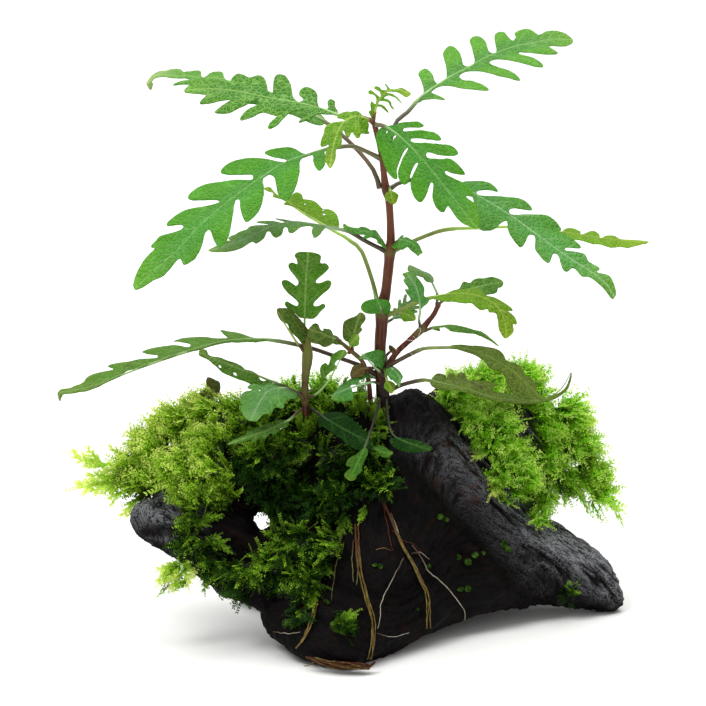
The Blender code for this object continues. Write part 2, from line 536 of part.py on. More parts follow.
def fork_block(name, corners, grow, collection):
    """A block that holds one limb, square to the line of sight."""
    low, high = Vector(corners[0]), Vector(corners[1])
    middle = (low + high) / 2
    grown = 1 + middle.z / VIEW_DISTANCE
    size = (high - low) * grown + 2 * Vector((grow, grow, grow))
    turn = Matrix((Vector((1, 0, 0)), VIEW_UP, VIEW_AWAY)).transposed().to_4x4()
    return block(name, size, Matrix.Translation(seen(*middle)) @ turn, collection)


def make_driftwood(parts, cutters, material):
    wood = merged_solid("driftwood", WOOD_STRETCHES, WOOD_VOXEL, cutters)
    roughen(wood, WOOD_LUMP, WOOD_LUMP_SIZE, 2.0)
    thin_to(wood, WOOD_TRIANGLES)
    underside = block("floor_cut", (400, 400, 60), Matrix.Translation((0, 0, -30 * MM)), cutters)
    cut_with(wood, underside)
    keep_largest_body(wood)
    body = add_object("driftwood_body", wood.data.copy(), parts, material)
    for name, fork in FORKS.items():
        limb = add_object(name, wood.data.copy(), parts, material)
        cut_with(limb, fork_block(name + "_block", fork, 0, cutters), "INTERSECT")
        keep_largest_body(limb)
        cut_with(body, fork_block(name + "_gap", fork, FORK_GAP, cutters))
        keep_largest_body(body)
    return wood


def front_of(wood, right, up):
    """How far away the wood's front is, along the line of sight through (right, up), or None."""
    eye = MM * (MIDDLE - VIEW_DISTANCE * VIEW_AWAY)
    sight = (seen(right, up, 0) - eye).normalized()
    hit = wood.ray_cast(eye, sight)[0]
    if hit is None:
        return None
    return (hit - MM * MIDDLE).dot(VIEW_AWAY) / MM


def tree_of(obj):
    bm = bmesh.new()
    bm.from_mesh(obj.data)
    tree = BVHTree.FromBMesh(bm)
    bm.free()
    return tree


def tube(name, points, sides, collection, material=None):
    """A round tube of changing radius through (right, up, away, radius), its ends filled."""
    curve = bpy.data.curves.new(name, "CURVE")
    curve.dimensions = "3D"
    curve.bevel_depth = MM
    curve.bevel_resolution = (sides - 4) // 2
    curve.use_fill_caps = True
    spline = curve.splines.new("POLY")
    spline.points.add(len(points) - 1)
    for knot, (right, up, away, radius) in zip(spline.points, points):
        knot.co = (*seen(right, up, away), 1)
        knot.radius = radius
    obj = add_object(name, curve, collection, material)
    return obj


def meshed(obj, collection):
    """The same shape as a welded mesh object, in place of a curve."""
    graph = bpy.context.evaluated_depsgraph_get()
    mesh = bpy.data.meshes.new_from_object(obj.evaluated_get(graph), depsgraph=graph)
    name = obj.name
    bpy.data.objects.remove(obj)
    bm = bmesh.new()
    bm.from_mesh(mesh)
    bmesh.ops.remove_doubles(bm, verts=bm.verts, dist=1e-5)
    bmesh.ops.recalc_face_normals(bm, faces=bm.faces)
    bm.to_mesh(mesh)
    bm.free()
    return add_object(name, mesh, collection)


def make_stems(parts, cutters, material, wood_gap):
    for name, points in STEMS.items():
        stem = meshed(tube(name, points, 8, parts, material), parts)
        stem.data.shade_smooth()
        if name != "stem_side":
            cut_with(stem, wood_gap)
            keep_largest_body(stem)
        fat = [(right, up, away, radius + CLEARANCE) for right, up, away, radius in points]
        meshed(tube(name + "_gap", fat, 8, cutters), cutters)


def make_moss(parts, cutters, material, wood, wood_gap):
    for seed, (name, balls) in enumerate(MOSS.items()):
        groups = []
        for right, up, away, radius in balls:
            if away is None:
                away = front_of(wood, right, up)
            groups.append([(right, up, away, radius)])
        cushion = merged_solid(name, groups, MOSS_VOXEL, parts)
        cushion.data.materials.append(material)
        roughen(cushion, MOSS_LUMP, MOSS_LUMP_SIZE, seed)
        thin_to(cushion, MOSS_TRIANGLES[name])
        for joined, place, side in MOSS_JOINTS:
            if joined == name:
                take_off(cushion, seen(*place), looking(side))
        cut_with(cushion, wood_gap)
        if name == "moss_centre":
            for stem in ("stem_main", "stem_second", "stem_third"):
                cut_with(cushion, bpy.data.objects[stem + "_gap"])
        keep_largest_body(cushion)


def take_off(obj, place, side):
    """Cuts a closed mesh flat at a plane and closes the cut, taking off what lies beyond it."""
    bm = bmesh.new()
    bm.from_mesh(obj.data)
    cut = bmesh.ops.bisect_plane(
        bm, geom=bm.verts[:] + bm.edges[:] + bm.faces[:], plane_co=place, plane_no=side, clear_outer=True
    )
    rim = [part for part in cut["geom_cut"] if isinstance(part, bmesh.types.BMEdge)]
    bmesh.ops.holes_fill(bm, edges=rim)
    bmesh.ops.recalc_face_normals(bm, faces=bm.faces)
    bm.to_mesh(obj.data)
    bm.free()


def make_roots(parts, material, wood):
    for name, (places, radius) in ROOTS.items():
        points = []
        for i, (right, up) in enumerate(places):
            fronts = []
            for other in (places[max(i - 1, 0)], places[min(i + 1, len(places) - 1)]):
                for share in (0.0, 0.25, 0.5):
                    beside = Vector((right, up)).lerp(Vector(other), share)
                    fronts.append(front_of(wood, *beside))
            nearest = min(away for away in fronts if away is not None)
            points.append((right, up, nearest - radius - CLEARANCE - ROOT_LIFT, radius))
        tube(name, points, 6, parts, material)
    tube("root_bottom_tuft", TUFT, 6, parts, material)


def smooth_path(points, share):
    """Place at a share of the way along a smooth curve through the points, with its direction."""
    places = np.array([seen(*point) for point in points])
    steps = np.linalg.norm(np.diff(places, axis=0), axis=1)
    along = np.concatenate([[0], np.cumsum(steps)])
    want = share * along[-1]
    i = int(np.clip(np.searchsorted(along, want, side="right") - 1, 0, len(steps) - 1))
    before = places[max(i - 1, 0)]
    start, end = places[i], places[i + 1]
    after = places[min(i + 2, len(places) - 1)]
    t = (want - along[i]) / steps[i]
    leave, arrive = (end - before) / 2, (after - start) / 2
    place = (
        (2 * t**3 - 3 * t**2 + 1) * start
        + (t**3 - 2 * t**2 + t) * leave
        + (3 * t**2 - 2 * t**3) * end
        + (t**3 - t**2) * arrive
    )
    slope = (
        (6 * t**2 - 6 * t) * start
        + (3 * t**2 - 4 * t + 1) * leave
        + (6 * t - 6 * t**2) * end
        + (3 * t**2 - 2 * t) * arrive
    )
    return Vector(place), Vector(slope).normalized()


def blade_start(path, bare):
    places = [seen(*point) for point in path]
    steps = [(b - a).length for a, b in zip(places, places[1:])]
    return sum(steps[:bare]) / sum(steps)


def reach_at(share, foot=0.45, peak=0.38, end=0.5):
    """How long the lobes are along the blade, as a share of the longest."""
    if share < peak:
        rise = share / peak
        return foot + (1 - foot) * math.sin(rise * math.pi / 2)
    fall = (share - peak) / (1 - peak)
    return 1 - (1 - end) * fall**1.4


def leaf_rows(lobes, cut, terminal, shape, slant):
    """Rows across the blade as (share of the blade, share of the reach, slant in degrees)."""
    if not lobes:
        return [(share, width, slant[0] + (slant[1] - slant[0]) * share) for share, width in OVAL]
    lobed = 1 - 1 / (lobes + 1.2)
    rows = []
    for lobe in range(lobes):
        for inside, fullness in shape:
            share = (lobe + inside) / lobes * lobed
            depth = cut + SHALLOWER * share * (1 - cut)
            width = (depth + (1 - depth) * fullness) * reach_at(share)
            rows.append((share, width if rows else FOOT_WIDTH, slant[0] + (slant[1] - slant[0]) * share))
    rows.append((lobed, (cut + SHALLOWER) * reach_at(lobed), slant[1]))
    rows.append((lobed + 0.3 * (1 - lobed), terminal, TIP_SLANT))
    rows.append((lobed + 0.7 * (1 - lobed), 0.72 * terminal, TIP_SLANT))
    return rows


def make_leaf(
    name, parts, material, path, bare, lobes, reach, slant, cut, face, left=1, terminal=0.36, shape=POINT
):
    """A thin closed blade on its stalk, from a grid three points wide."""
    start = blade_start(path, bare)
    stalk_half = PETIOLE_HALF_WIDTH
    stalk_rows = STALK_ROWS if bare > 1 else STALK_ROWS[::2]
    rows = [(share * start, stalk_half, stalk_half, 90.0, PETIOLE_FOLD) for share in stalk_rows]
    for share, width, angle in leaf_rows(lobes, cut, terminal, shape, slant):
        along = start + (1 - start) * share
        half = max(width * reach, stalk_half)
        rows.append((along, max(half * left, stalk_half), half, angle, 0.0))
    rows.append((1.0, TIP_HALF_WIDTH, TIP_HALF_WIDTH, 90.0, 0.0))
    normal_hint = looking(face)
    bm = bmesh.new()
    bmesh.ops.create_grid(bm, x_segments=2, y_segments=len(rows) - 1, size=1)
    for vert in bm.verts:
        column = round(vert.co.x)
        row = round((vert.co.y + 1) / 2 * (len(rows) - 1))
        along, left_half, right_half, angle, fold = rows[row]
        place, forward = smooth_path(path, along)
        sideways = normal_hint.cross(forward).normalized()
        upward = forward.cross(sideways)
        half = left_half if column < 0 else right_half
        tilt = math.radians(angle)
        ray = math.cos(tilt) * forward - column * math.sin(tilt) * sideways
        if column == 0:
            vert.co = place - upward * fold * MM
        else:
            vert.co = place + ray * half * MM
    bmesh.ops.recalc_face_normals(bm, faces=bm.faces)
    leaf = mesh_object(name, bm, parts, material)
    shell = leaf.modifiers.new("blade thickness", "SOLIDIFY")
    shell.thickness = LEAF_THICKNESS * MM
    shell.offset = 0
    return leaf


def main():
    for obj in list(bpy.data.objects):
        bpy.data.objects.remove(obj)
    parts = bpy.data.collections.new("hygrophila_on_driftwood")
    cutters = bpy.data.collections.new("cutters")
    for collection in (parts, cutters):
        bpy.context.scene.collection.children.link(collection)
    materials = {name: make_material(name) for name in COLOURS}
    solid_wood = make_driftwood(parts, cutters, materials["driftwood"])
    wood = tree_of(solid_wood)
    wood_gap = swollen_copy(solid_wood, "driftwood_gap", WOOD_CLEARANCE, cutters)
    make_stems(parts, cutters, materials["stem"], wood_gap)
    make_moss(parts, cutters, materials["moss"], wood, wood_gap)
    make_roots(parts, materials["root"], wood)
    for name, leaf in LEAVES.items():
        make_leaf(name, parts, materials["leaf"], **leaf)
    for obj in cutters.objects:
        obj.hide_render = True
        obj.display_type = "WIRE"
    cutters.hide_render = True


main()
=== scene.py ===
"""Hygrophila pinnatifida growing with moss on a piece of driftwood.

Places are given as the viewer sees them, in millimetres: how far right of the middle, how far up
from the floor line at the front foot, and how far away behind that foot. seen() turns them into
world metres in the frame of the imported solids.
"""

import math
import random

import bmesh
import bpy
import numpy as np
from mathutils import Matrix, Vector, noise
from mathutils.bvhtree import BVHTree


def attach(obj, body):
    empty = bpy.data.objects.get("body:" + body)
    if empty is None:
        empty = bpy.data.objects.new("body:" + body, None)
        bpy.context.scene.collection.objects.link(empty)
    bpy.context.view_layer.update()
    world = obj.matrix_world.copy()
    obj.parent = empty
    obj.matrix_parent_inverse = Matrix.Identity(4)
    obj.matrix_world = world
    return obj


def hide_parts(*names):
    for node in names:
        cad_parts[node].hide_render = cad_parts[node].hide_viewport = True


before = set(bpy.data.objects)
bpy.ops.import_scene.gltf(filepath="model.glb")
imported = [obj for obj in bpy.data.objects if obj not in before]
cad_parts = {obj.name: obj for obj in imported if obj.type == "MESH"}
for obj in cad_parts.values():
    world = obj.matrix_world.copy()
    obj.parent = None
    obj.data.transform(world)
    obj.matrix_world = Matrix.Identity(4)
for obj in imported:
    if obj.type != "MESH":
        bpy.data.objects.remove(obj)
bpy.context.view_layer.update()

# View of the photograph, in millimetres and radians, as the solids are laid out
MM = 0.001
PHOTO_WIDTH_PX = 706
PX_PER_MM = 3
VIEW_WIDTH = PHOTO_WIDTH_PX / PX_PER_MM
VIEW_PITCH = math.radians(15)
VIEW_DISTANCE = 900
VIEW_MIDDLE_UP = 107.3
SHIFT_RIGHT = -1.75
SHIFT_BACK = -27.1
VIEW_UP = Vector((0, math.sin(VIEW_PITCH), math.cos(VIEW_PITCH)))
VIEW_AWAY = Vector((0, math.cos(VIEW_PITCH), -math.sin(VIEW_PITCH)))
MIDDLE = Vector((SHIFT_RIGHT, SHIFT_BACK, VIEW_MIDDLE_UP * math.cos(VIEW_PITCH)))


def seen(right, up, away):
    """World place, in metres, of a point given as the viewer sees it."""
    right, up, away = float(right), float(up), float(away)
    grown = 1 + away / VIEW_DISTANCE
    rise = (up - VIEW_MIDDLE_UP) * grown
    return MM * (MIDDLE + Vector((right * grown, 0, 0)) + rise * VIEW_UP + away * VIEW_AWAY)


def looking(direction):
    """World direction of one given as right, up, away."""
    right, up, away = direction
    return (Vector((right, 0, 0)) + up * VIEW_UP + away * VIEW_AWAY).normalized()


def paint(text):
    """Linear colour of a hex code."""
    values = [int(text[i:i + 2], 16) / 255 for i in (0, 2, 4)]
    linear = [v / 12.92 if v <= 0.04045 else ((v + 0.055) / 1.055) ** 2.4 for v in values]
    return (*linear, 1)


# Handling of objects

def deselect():
    for obj in bpy.context.selected_objects:
        obj.select_set(False)


def only(obj):
    deselect()
    obj.select_set(True)
    bpy.context.view_layer.objects.active = obj


def apply_modifiers(obj):
    only(obj)
    for change in list(obj.modifiers):
        bpy.ops.object.modifier_apply(modifier=change.name)


def put(name, data):
    """A new object of the given mesh, curve, light or camera, in the scene."""
    obj = bpy.data.objects.new(name, data)
    bpy.context.scene.collection.objects.link(obj)
    return obj


def put_mesh(name, bm):
    """A new mesh object of what was built up; frees the builder."""
    mesh = bpy.data.meshes.new(name)
    bm.to_mesh(mesh)
    bm.free()
    return put(name, mesh)


def join(objects, name):
    deselect()
    for obj in objects:
        obj.select_set(True)
    bpy.context.view_layer.objects.active = objects[0]
    bpy.ops.object.join()
    joined = bpy.context.active_object
    joined.name = name
    return joined


def finish_piece(obj, nodes):
    """Names a piece and sets it on the one body, in place of its solids if it has any."""
    obj.name = obj.name.split(".")[0] + "_detailed"
    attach(obj, "root")
    if nodes:
        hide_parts(*nodes)


def points_of(obj):
    places = np.empty(len(obj.data.vertices) * 3)
    obj.data.vertices.foreach_get("co", places)
    return places.reshape(-1, 3)


def set_points(obj, places):
    obj.data.vertices.foreach_set("co", np.asarray(places, float).ravel())
    obj.data.update()


def store(obj, name, values):
    """Keeps a number for each point of the mesh, or one for them all, for its material to read."""
    attribute = obj.data.attributes.get(name) or obj.data.attributes.new(name, "FLOAT", "POINT")
    attribute.data.foreach_set("value", np.full(len(obj.data.vertices), values, np.float32))


def smooth(obj):
    only(obj)
    bpy.ops.object.shade_smooth()


def mesh_from(name, places, quads):
    """A mesh object from arrays of points and four-cornered faces."""
    mesh = bpy.data.meshes.new(name)
    mesh.vertices.add(len(places))
    mesh.vertices.foreach_set("co", np.asarray(places, np.float32).ravel())
    mesh.loops.add(4 * len(quads))
    mesh.loops.foreach_set("vertex_index", np.asarray(quads, np.int32).ravel())
    mesh.polygons.add(len(quads))
    mesh.polygons.foreach_set("loop_start", np.arange(0, 4 * len(quads), 4, dtype=np.int32))
    mesh.update(calc_edges=True)
    return put(name, mesh)


# Material building blocks

class Paints:
    """A material's node tree, with short calls for the nodes used here."""

    def __init__(self, name):
        self.material = bpy.data.materials.new(name)
        self.material.use_nodes = True
        self.nodes = self.material.node_tree.nodes
        self.shader = self.nodes["Principled BSDF"]

    def feed(self, node, values):
        """Links or sets a node's inputs, given by name or number."""
        for key, value in values.items():
            if isinstance(value, bpy.types.NodeSocket):
                self.material.node_tree.links.new(value, node.inputs[key])
            else:
                node.inputs[key].default_value = value

    def add(self, kind, values, output, **settings):
        node = self.nodes.new(kind)
        for key, value in settings.items():
            setattr(node, key, value)
        self.feed(node, values)
        return node.outputs[output]

    def attribute(self, name, output="Fac"):
        return self.add("ShaderNodeAttribute", {}, output, attribute_name=name)

    def place(self, scale=(1, 1, 1)):
        spot = self.add("ShaderNodeTexCoord", {}, "Object")
        return self.add("ShaderNodeMapping", {"Vector": spot, "Scale": scale}, "Vector")

    def noise(self, scale, detail, vector=None, distortion=0.0):
        values = {"Vector": vector or self.place(), "Scale": scale, "Detail": detail}
        return self.add("ShaderNodeTexNoise", {**values, "Distortion": distortion}, "Fac")

    def cells(self, scale):
        values = {"Vector": self.place(), "Scale": scale}
        return self.add("ShaderNodeTexVoronoi", values, "Distance", feature="DISTANCE_TO_EDGE")

    def reckon(self, kind, *values):
        return self.add("ShaderNodeMath", dict(enumerate(values)), "Value", operation=kind)

    def between(self, value, low, high, start=0.0, end=1.0):
        """From start to end, softly, as the value goes from low to high."""
        values = dict(enumerate((value, low, high, start, end)))
        return self.add("ShaderNodeMapRange", values, "Result", interpolation_type="SMOOTHSTEP")

    def mix(self, share, a, b, blend="MIX"):
        return self.add("ShaderNodeMix", {0: share, 6: a, 7: b}, 2, data_type="RGBA", blend_type=blend)

    def tint(self, base, colour, value, low, high, start=0.0, end=1.0):
        """Lays a colour over the base, by how far the value has come from low to high."""
        return self.mix(self.between(value, low, high, start, end), base, paint(colour))

    def bump(self, height, distance, strength=1.0, **after):
        """Relief of a height, laid over an earlier one where Normal is given."""
        values = {"Height": height, "Distance": distance, "Strength": strength, **after}
        return self.add("ShaderNodeBump", values, "Normal")

    def set(self, **values):
        self.feed(self.shader, {key.replace("_", " "): value for key, value in values.items()})

    def let_light_through(self, share, colour, **normal):
        """Mixes in light that falls through from the far side."""
        through = self.add("ShaderNodeBsdfTranslucent", {"Color": colour, **normal}, 0)
        both = self.add("ShaderNodeMixShader", {0: share, 1: self.shader.outputs[0], 2: through}, 0)
        self.feed(self.nodes["Material Output"], {"Surface": both})


def leaf_paint(name, edge, middle, tip, vein, net=0.2, blotches=0.0, through=0.3, gloss=0.2):
    """Blade: colder along the midrib, fresher at its edge and tip, with pale veins and a fine net."""
    p = Paints(name)
    rib, side, along, painted_light_and_tone = (p.attribute(key) for key in ("rib", "side", "along", "painted_light_and_tone"))
    cloud = p.noise(90, 4)
    base = p.tint(paint(middle), edge, rib, 0.8, 7.0)
    base = p.tint(base, tip, along, 0.72, 1.02, 0, 0.75)
    base = p.tint(base, "3d5a28", cloud, 0.35, 0.75, 0, 0.22)
    if blotches:
        base = p.tint(base, "4a3a18", p.noise(210, 5), 0.58, 0.7, 0, blotches)
    lines = p.cells(620)
    net_mask = p.between(lines, 0.035, 0.14, net, 0.0)
    side_mask = p.between(side, 0.0, 0.5, 0.3, 0.0)
    rib_mask = p.between(rib, 0.2, 0.5, 0.75, 0.0)
    veins = p.reckon("MAXIMUM", p.reckon("MAXIMUM", net_mask, side_mask), rib_mask)
    base = p.mix(veins, base, paint(vein))
    # Painted shade: a tone below 1 darkens the blade towards grey-green, for leaves that lie in shade
    shade = p.mix(p.reckon("MULTIPLY_ADD", painted_light_and_tone, 0.5, 0.5), paint("9aa89a"), (1, 1, 1, 1))
    base = p.mix(1.0, base, shade, "MULTIPLY")
    height = p.reckon("SUBTRACT", p.between(lines, 0.0, 0.3), p.reckon("MULTIPLY", side_mask, 0.8))
    normal = p.bump(height, 0.0004, 0.8)
    rough = p.between(cloud, 0.3, 0.8, 0.42, 0.56)
    p.set(Base_Color=base, Roughness=rough, Specular_IOR_Level=gloss, Normal=normal)
    p.let_light_through(through, p.mix(0.5, base, paint("a4d82c")), Normal=normal)
    return p.material


def stalk_paint(name, foot, blade_rib):
    """Leaf stalk and midrib: brownish at the stem and pale green under the blade."""
    p = Paints(name)
    streak = p.noise(260, 3, p.place((1, 1, 0.25)))
    base = p.tint(paint(foot), blade_rib, p.attribute("along"), -0.35, 0.12)
    base = p.tint(base, "3c2a1c", streak, 0.4, 0.8, 0, 0.35)
    normal = p.bump(streak, 0.0001, 0.4)
    p.set(Base_Color=base, Roughness=0.42, Specular_IOR_Level=0.4, Normal=normal)
    return p.material


# Smooth paths

def follow(path, shares):
    """Places in metres and directions, at shares of the way along a soft curve through a path."""
    knots = np.array([seen(*point) for point in path])
    steps = np.linalg.norm(np.diff(knots, axis=0), axis=1)
    reached = run_along(knots)
    want = np.clip(shares, 0, 1) * reached[-1]
    i = np.clip(np.searchsorted(reached, want, side="right") - 1, 0, len(steps) - 1)
    start, end = knots[i], knots[i + 1]
    before = knots[np.maximum(i - 1, 0)]
    after = knots[np.minimum(i + 2, len(steps))]
    t = ((want - reached[i]) / steps[i])[:, None]
    leave, arrive = (end - before) / 2, (after - start) / 2
    places = (
        (2 * t**3 - 3 * t**2 + 1) * start + (t**3 - 2 * t**2 + t) * leave
        + (3 * t**2 - 2 * t**3) * end + (t**3 - t**2) * arrive
    )
    slopes = (
        (6 * t**2 - 6 * t) * start + (3 * t**2 - 4 * t + 1) * leave
        + (6 * t - 6 * t**2) * end + (3 * t**2 - 2 * t) * arrive
    )
    return places, unit(slopes)


def unit(vectors):
    return vectors / np.maximum(np.linalg.norm(vectors, axis=-1, keepdims=True), 1e-12)


def run_along(knots):
    """How far along a line of knots each of them lies, from 0."""
    steps = np.linalg.norm(np.diff(knots, axis=0), axis=1)
    return np.concatenate([[0], np.cumsum(steps)])


def nearest_step(obj, line):
    """For each point of an object, which place of the line it belongs to."""
    return np.argmin(((points_of(obj)[:, None] - line[None]) ** 2).sum(-1), axis=1)


def path_length(path):
    knots = [seen(*point) for point in path]
    return sum((b - a).length for a, b in zip(knots, knots[1:])) / MM


def blade_start(path, bare):
    return path_length(path[:bare + 1]) / path_length(path)


def tube_along(name, places, radii, sides=8):
    """A round tube, closed at both ends, through world places in metres with radii in millimetres."""
    return tubes_along(name, [(places, radii)], sides)


def tubes_along(name, lines, sides):
    """Several such tubes as one object, each line given as places and radii."""
    curve = bpy.data.curves.new(name, "CURVE")
    curve.dimensions = "3D"
    curve.bevel_depth = MM
    curve.bevel_resolution = (sides - 4) // 2
    curve.use_fill_caps = True
    for places, radii in lines:
        spline = curve.splines.new("POLY")
        spline.points.add(len(places) - 1)
        for knot, place, radius in zip(spline.points, places, radii):
            knot.co = (*place, 1)
            knot.radius = radius
    only(put(name, curve))
    bpy.ops.object.convert(target="MESH")
    obj = bpy.context.active_object
    bpy.ops.object.mode_set(mode="EDIT")
    bpy.ops.mesh.select_all(action="SELECT")
    bpy.ops.mesh.remove_doubles(threshold=1e-6)
    bpy.ops.mesh.normals_make_consistent(inside=False)
    bpy.ops.object.mode_set(mode="OBJECT")
    return obj


# Leaves

# How a leaf is made unless its own row says otherwise; lengths are shares of the blade or of its reach,
# apart from sinus, teeth, wave, grid and stalk, which are in mm, and slant is in degrees
# A tone below 1 darkens the whole blade and its veins: painted shade for leaves that lie in shade
STYLE = dict(
    lobes=5, outline=None, first=0.1, lobed=0.74, crowd=0.9, offset=0.1, foot=0.5, peak=0.36, end=0.62,
    uneven=0.07, slant=(54, 42), gap=0.02, blunt=0.6, neck=0.3, cut=0.14, cut_at_tip=0.34, sinus=1.0,
    terminal=0.36, tip_power=1.7, teeth=0.3, fold=0.1, droop=0.12, cup=0.12, wave=0.45, grid=0.5,
    stalk=0.75, paint="fresh", painted_light_and_tone=1.0, holes=(),
)
# Whole blades: an oval with a slightly toothed edge
OVAL = dict(lobes=0, terminal=1.0, teeth=0.22, grid=0.4)
# Leaves on a path shorter than this, in mm, are finer
SHORT_PATH = 45
FINE = dict(grid=0.35, sinus=0.7, stalk=0.5, wave=0.3)
BLADE_THICKNESS = 0.32
STALK_INTO_STEM = 1.3
# How far a drawn outline may reach back over the stalk and past the tip, in mm, and how far to each side,
# in reaches
DRAWN_BEFORE = 8
DRAWN_PAST = 8
DRAWN_ACROSS = 1.6
DRAWN_STEP = 0.25
# Lobe ends closer to the midrib than this, in mm, carry no vein
LEAST_LOBE = 1.2
EDGE_UNEVENNESS = 0.16
# How near a corner, as part of a grid cell, the border may cut the cell's side
LEAST_CUT = 0.03
VEIN_RADII = (0.25, 0.19)
# Part of the stalk's radius that the midrib has, its radius at the tip, and the stalk's swollen foot
RIB_SHARE = 0.66
RIB_END = 0.12
SWOLLEN_FOOT = (1.35, 1.2, 1.08)


def reach_at(share, foot, peak, end):
    """How long the lobes are along the blade, as a share of the longest."""
    rise = foot + (1 - foot) * np.sin(np.clip(share / peak, 0, 1) * math.pi / 2)
    fall = 1 - (1 - end) * np.clip((share - peak) / (1 - peak), 0, 1) ** 1.5
    return np.where(share < peak, rise, fall)


def view_of(places):
    """What seen() takes, for world places: right and up."""
    off = places / MM - np.array(MIDDLE)
    grown = 1 + off @ np.array(VIEW_AWAY) / VIEW_DISTANCE
    return np.stack((off[:, 0] / grown, VIEW_MIDDLE_UP + off @ np.array(VIEW_UP) / grown), axis=1)


def midrib_of(path, start, length, hint):
    """Places and axes (forward, sideways, upward) at any distance along the blade, in mm."""
    def at(run):
        share = start + (1 - start) * run / length
        places, forward = follow(path, share)
        beyond = (share - np.clip(share, 0, 1)) * length / (1 - start)
        places = places + forward * (MM * beyond)[:, None]
        sideways = unit(np.cross(hint, forward))
        return places, forward, sideways, np.cross(forward, sideways)
    return at


def on_blade(points, at, length, reach):
    """Where points given as (right, up) lie on the blade: mm along it and across it."""
    run = np.arange(-DRAWN_BEFORE, length + DRAWN_PAST, DRAWN_STEP)
    out = np.arange(-DRAWN_ACROSS * reach, DRAWN_ACROSS * reach, DRAWN_STEP)
    run, out = (grid.ravel() for grid in np.meshgrid(run, out))
    places, _, sideways, _ = at(run)
    shown = view_of(places + MM * out[:, None] * sideways)
    nearest = [np.argmin(((shown - np.array(point)) ** 2).sum(1)) for point in points]
    return np.array([(run[i], out[i]) for i in nearest])


def smooth_ring(points):
    """A closed line that bends softly through all the points."""
    before, after, beyond = (np.roll(points, shift, axis=0) for shift in (1, -1, -2))
    steps = []
    for share in (0, 0.25, 0.5, 0.75):
        weights = ((2 - share) * share - 1) * share, (3 * share - 5) * share**2 + 2
        others = ((4 - 3 * share) * share + 1) * share, (share - 1) * share**2
        steps.append((weights[0] * before + weights[1] * points + others[0] * after + others[1] * beyond) / 2)
    return np.stack(steps, axis=1).reshape(-1, 2)


def field_of_ring(ring, run, out):
    """Distance to the ring, negative inside it."""
    apart = np.full(len(run), 99.0)
    within = np.zeros(len(run), bool)
    for (a, b), (c, d) in zip(ring, np.roll(ring, -1, axis=0)):
        size = (c - a) ** 2 + (d - b) ** 2 + 1e-9
        share = np.clip(((run - a) * (c - a) + (out - b) * (d - b)) / size, 0, 1)
        apart = np.minimum(apart, np.hypot(run - a - share * (c - a), out - b - share * (d - b)))
        if b != d:
            within ^= ((b > out) != (d > out)) & (run < a + (out - b) / (d - b) * (c - a))
    return np.where(within, -apart, apart)


def ends_of(points):
    """The lobe ends of an outline: its points that lie farther out than their neighbours."""
    out = np.abs(points[:, 1])
    farther = (out >= np.roll(out, 1)) & (out > np.roll(out, -1)) & (out > LEAST_LOBE)
    return points[farther]


def lobe_ends(style, at, length, reach, rng):
    """Where the lobes end on each side, as (along, out): as drawn, or set out by the style."""
    sides = {1: [], -1: []}
    if style["outline"]:
        for run, out in ends_of(on_blade(style["outline"], at, length, reach)):
            sides[1 if out > 0 else -1].append((run, abs(out)))
    elif style["lobes"]:
        for side in sides:
            steps = style["crowd"] ** np.arange(style["lobes"])
            shares = np.cumsum(steps) - steps[0] * (1.0 if side > 0 else 1.0 - style["offset"] * 2)
            shares = style["first"] + shares / steps.sum() * (style["lobed"] - style["first"])
            for share in shares:
                out = reach * float(reach_at(share, style["foot"], style["peak"], style["end"]))
                out *= 1 + style["uneven"] * rng.uniform(-1, 1)
                slope = math.radians(np.interp(share, (0, 1), style["slant"]))
                sides[side].append((share * length + out / math.tan(slope), out))
    return sides


def lobes_of(sides, style, length):
    """Each lobe as start on the midrib, end centre (along, across) and half-widths at foot and end."""
    lobes = []
    for side, ends in sides.items():
        ends.sort()
        slopes = [math.radians(np.interp(run / length, (0, 1), style["slant"])) for run, _ in ends]
        starts = [max(0.3, run - out / math.tan(slope)) for (run, out), slope in zip(ends, slopes)]
        for i, ((run, out), slope, start) in enumerate(zip(ends, slopes, starts)):
            around = [abs(b - a) for a, b in zip(starts[max(i - 1, 0):i + 1], starts[max(i, 1):i + 2])]
            spacing = sum(around) / len(around) if around else 0.4 * length
            foot = 0.5 * spacing * math.sin(slope) * (1 - style["gap"])
            foot = min(foot, 0.6 * out + 0.3)
            tip = foot * style["blunt"]
            way = np.array((run - start, side * out))
            centre = np.array((start, 0)) + way * max(0.2, 1 - tip / np.linalg.norm(way))
            lobes.append((np.array((start, 0.0)), centre, foot, tip))
    return lobes


def to_lobe(run, out, lobe):
    """Distance from a lobe's vein and share of the way along it."""
    start, centre, _, _ = lobe
    way = centre - start
    along = np.clip(((run - start[0]) * way[0] + (out - start[1]) * way[1]) / (way @ way), 0, 1)
    return np.hypot(run - start[0] - along * way[0], out - start[1] - along * way[1]), along


def run_into(a, b, round_by):
    """Union of two shapes given by distances, with the corner between them rounded."""
    near = np.clip(round_by - np.abs(a - b), 0, None) / round_by
    return np.minimum(a, b) - near**2 * round_by / 4


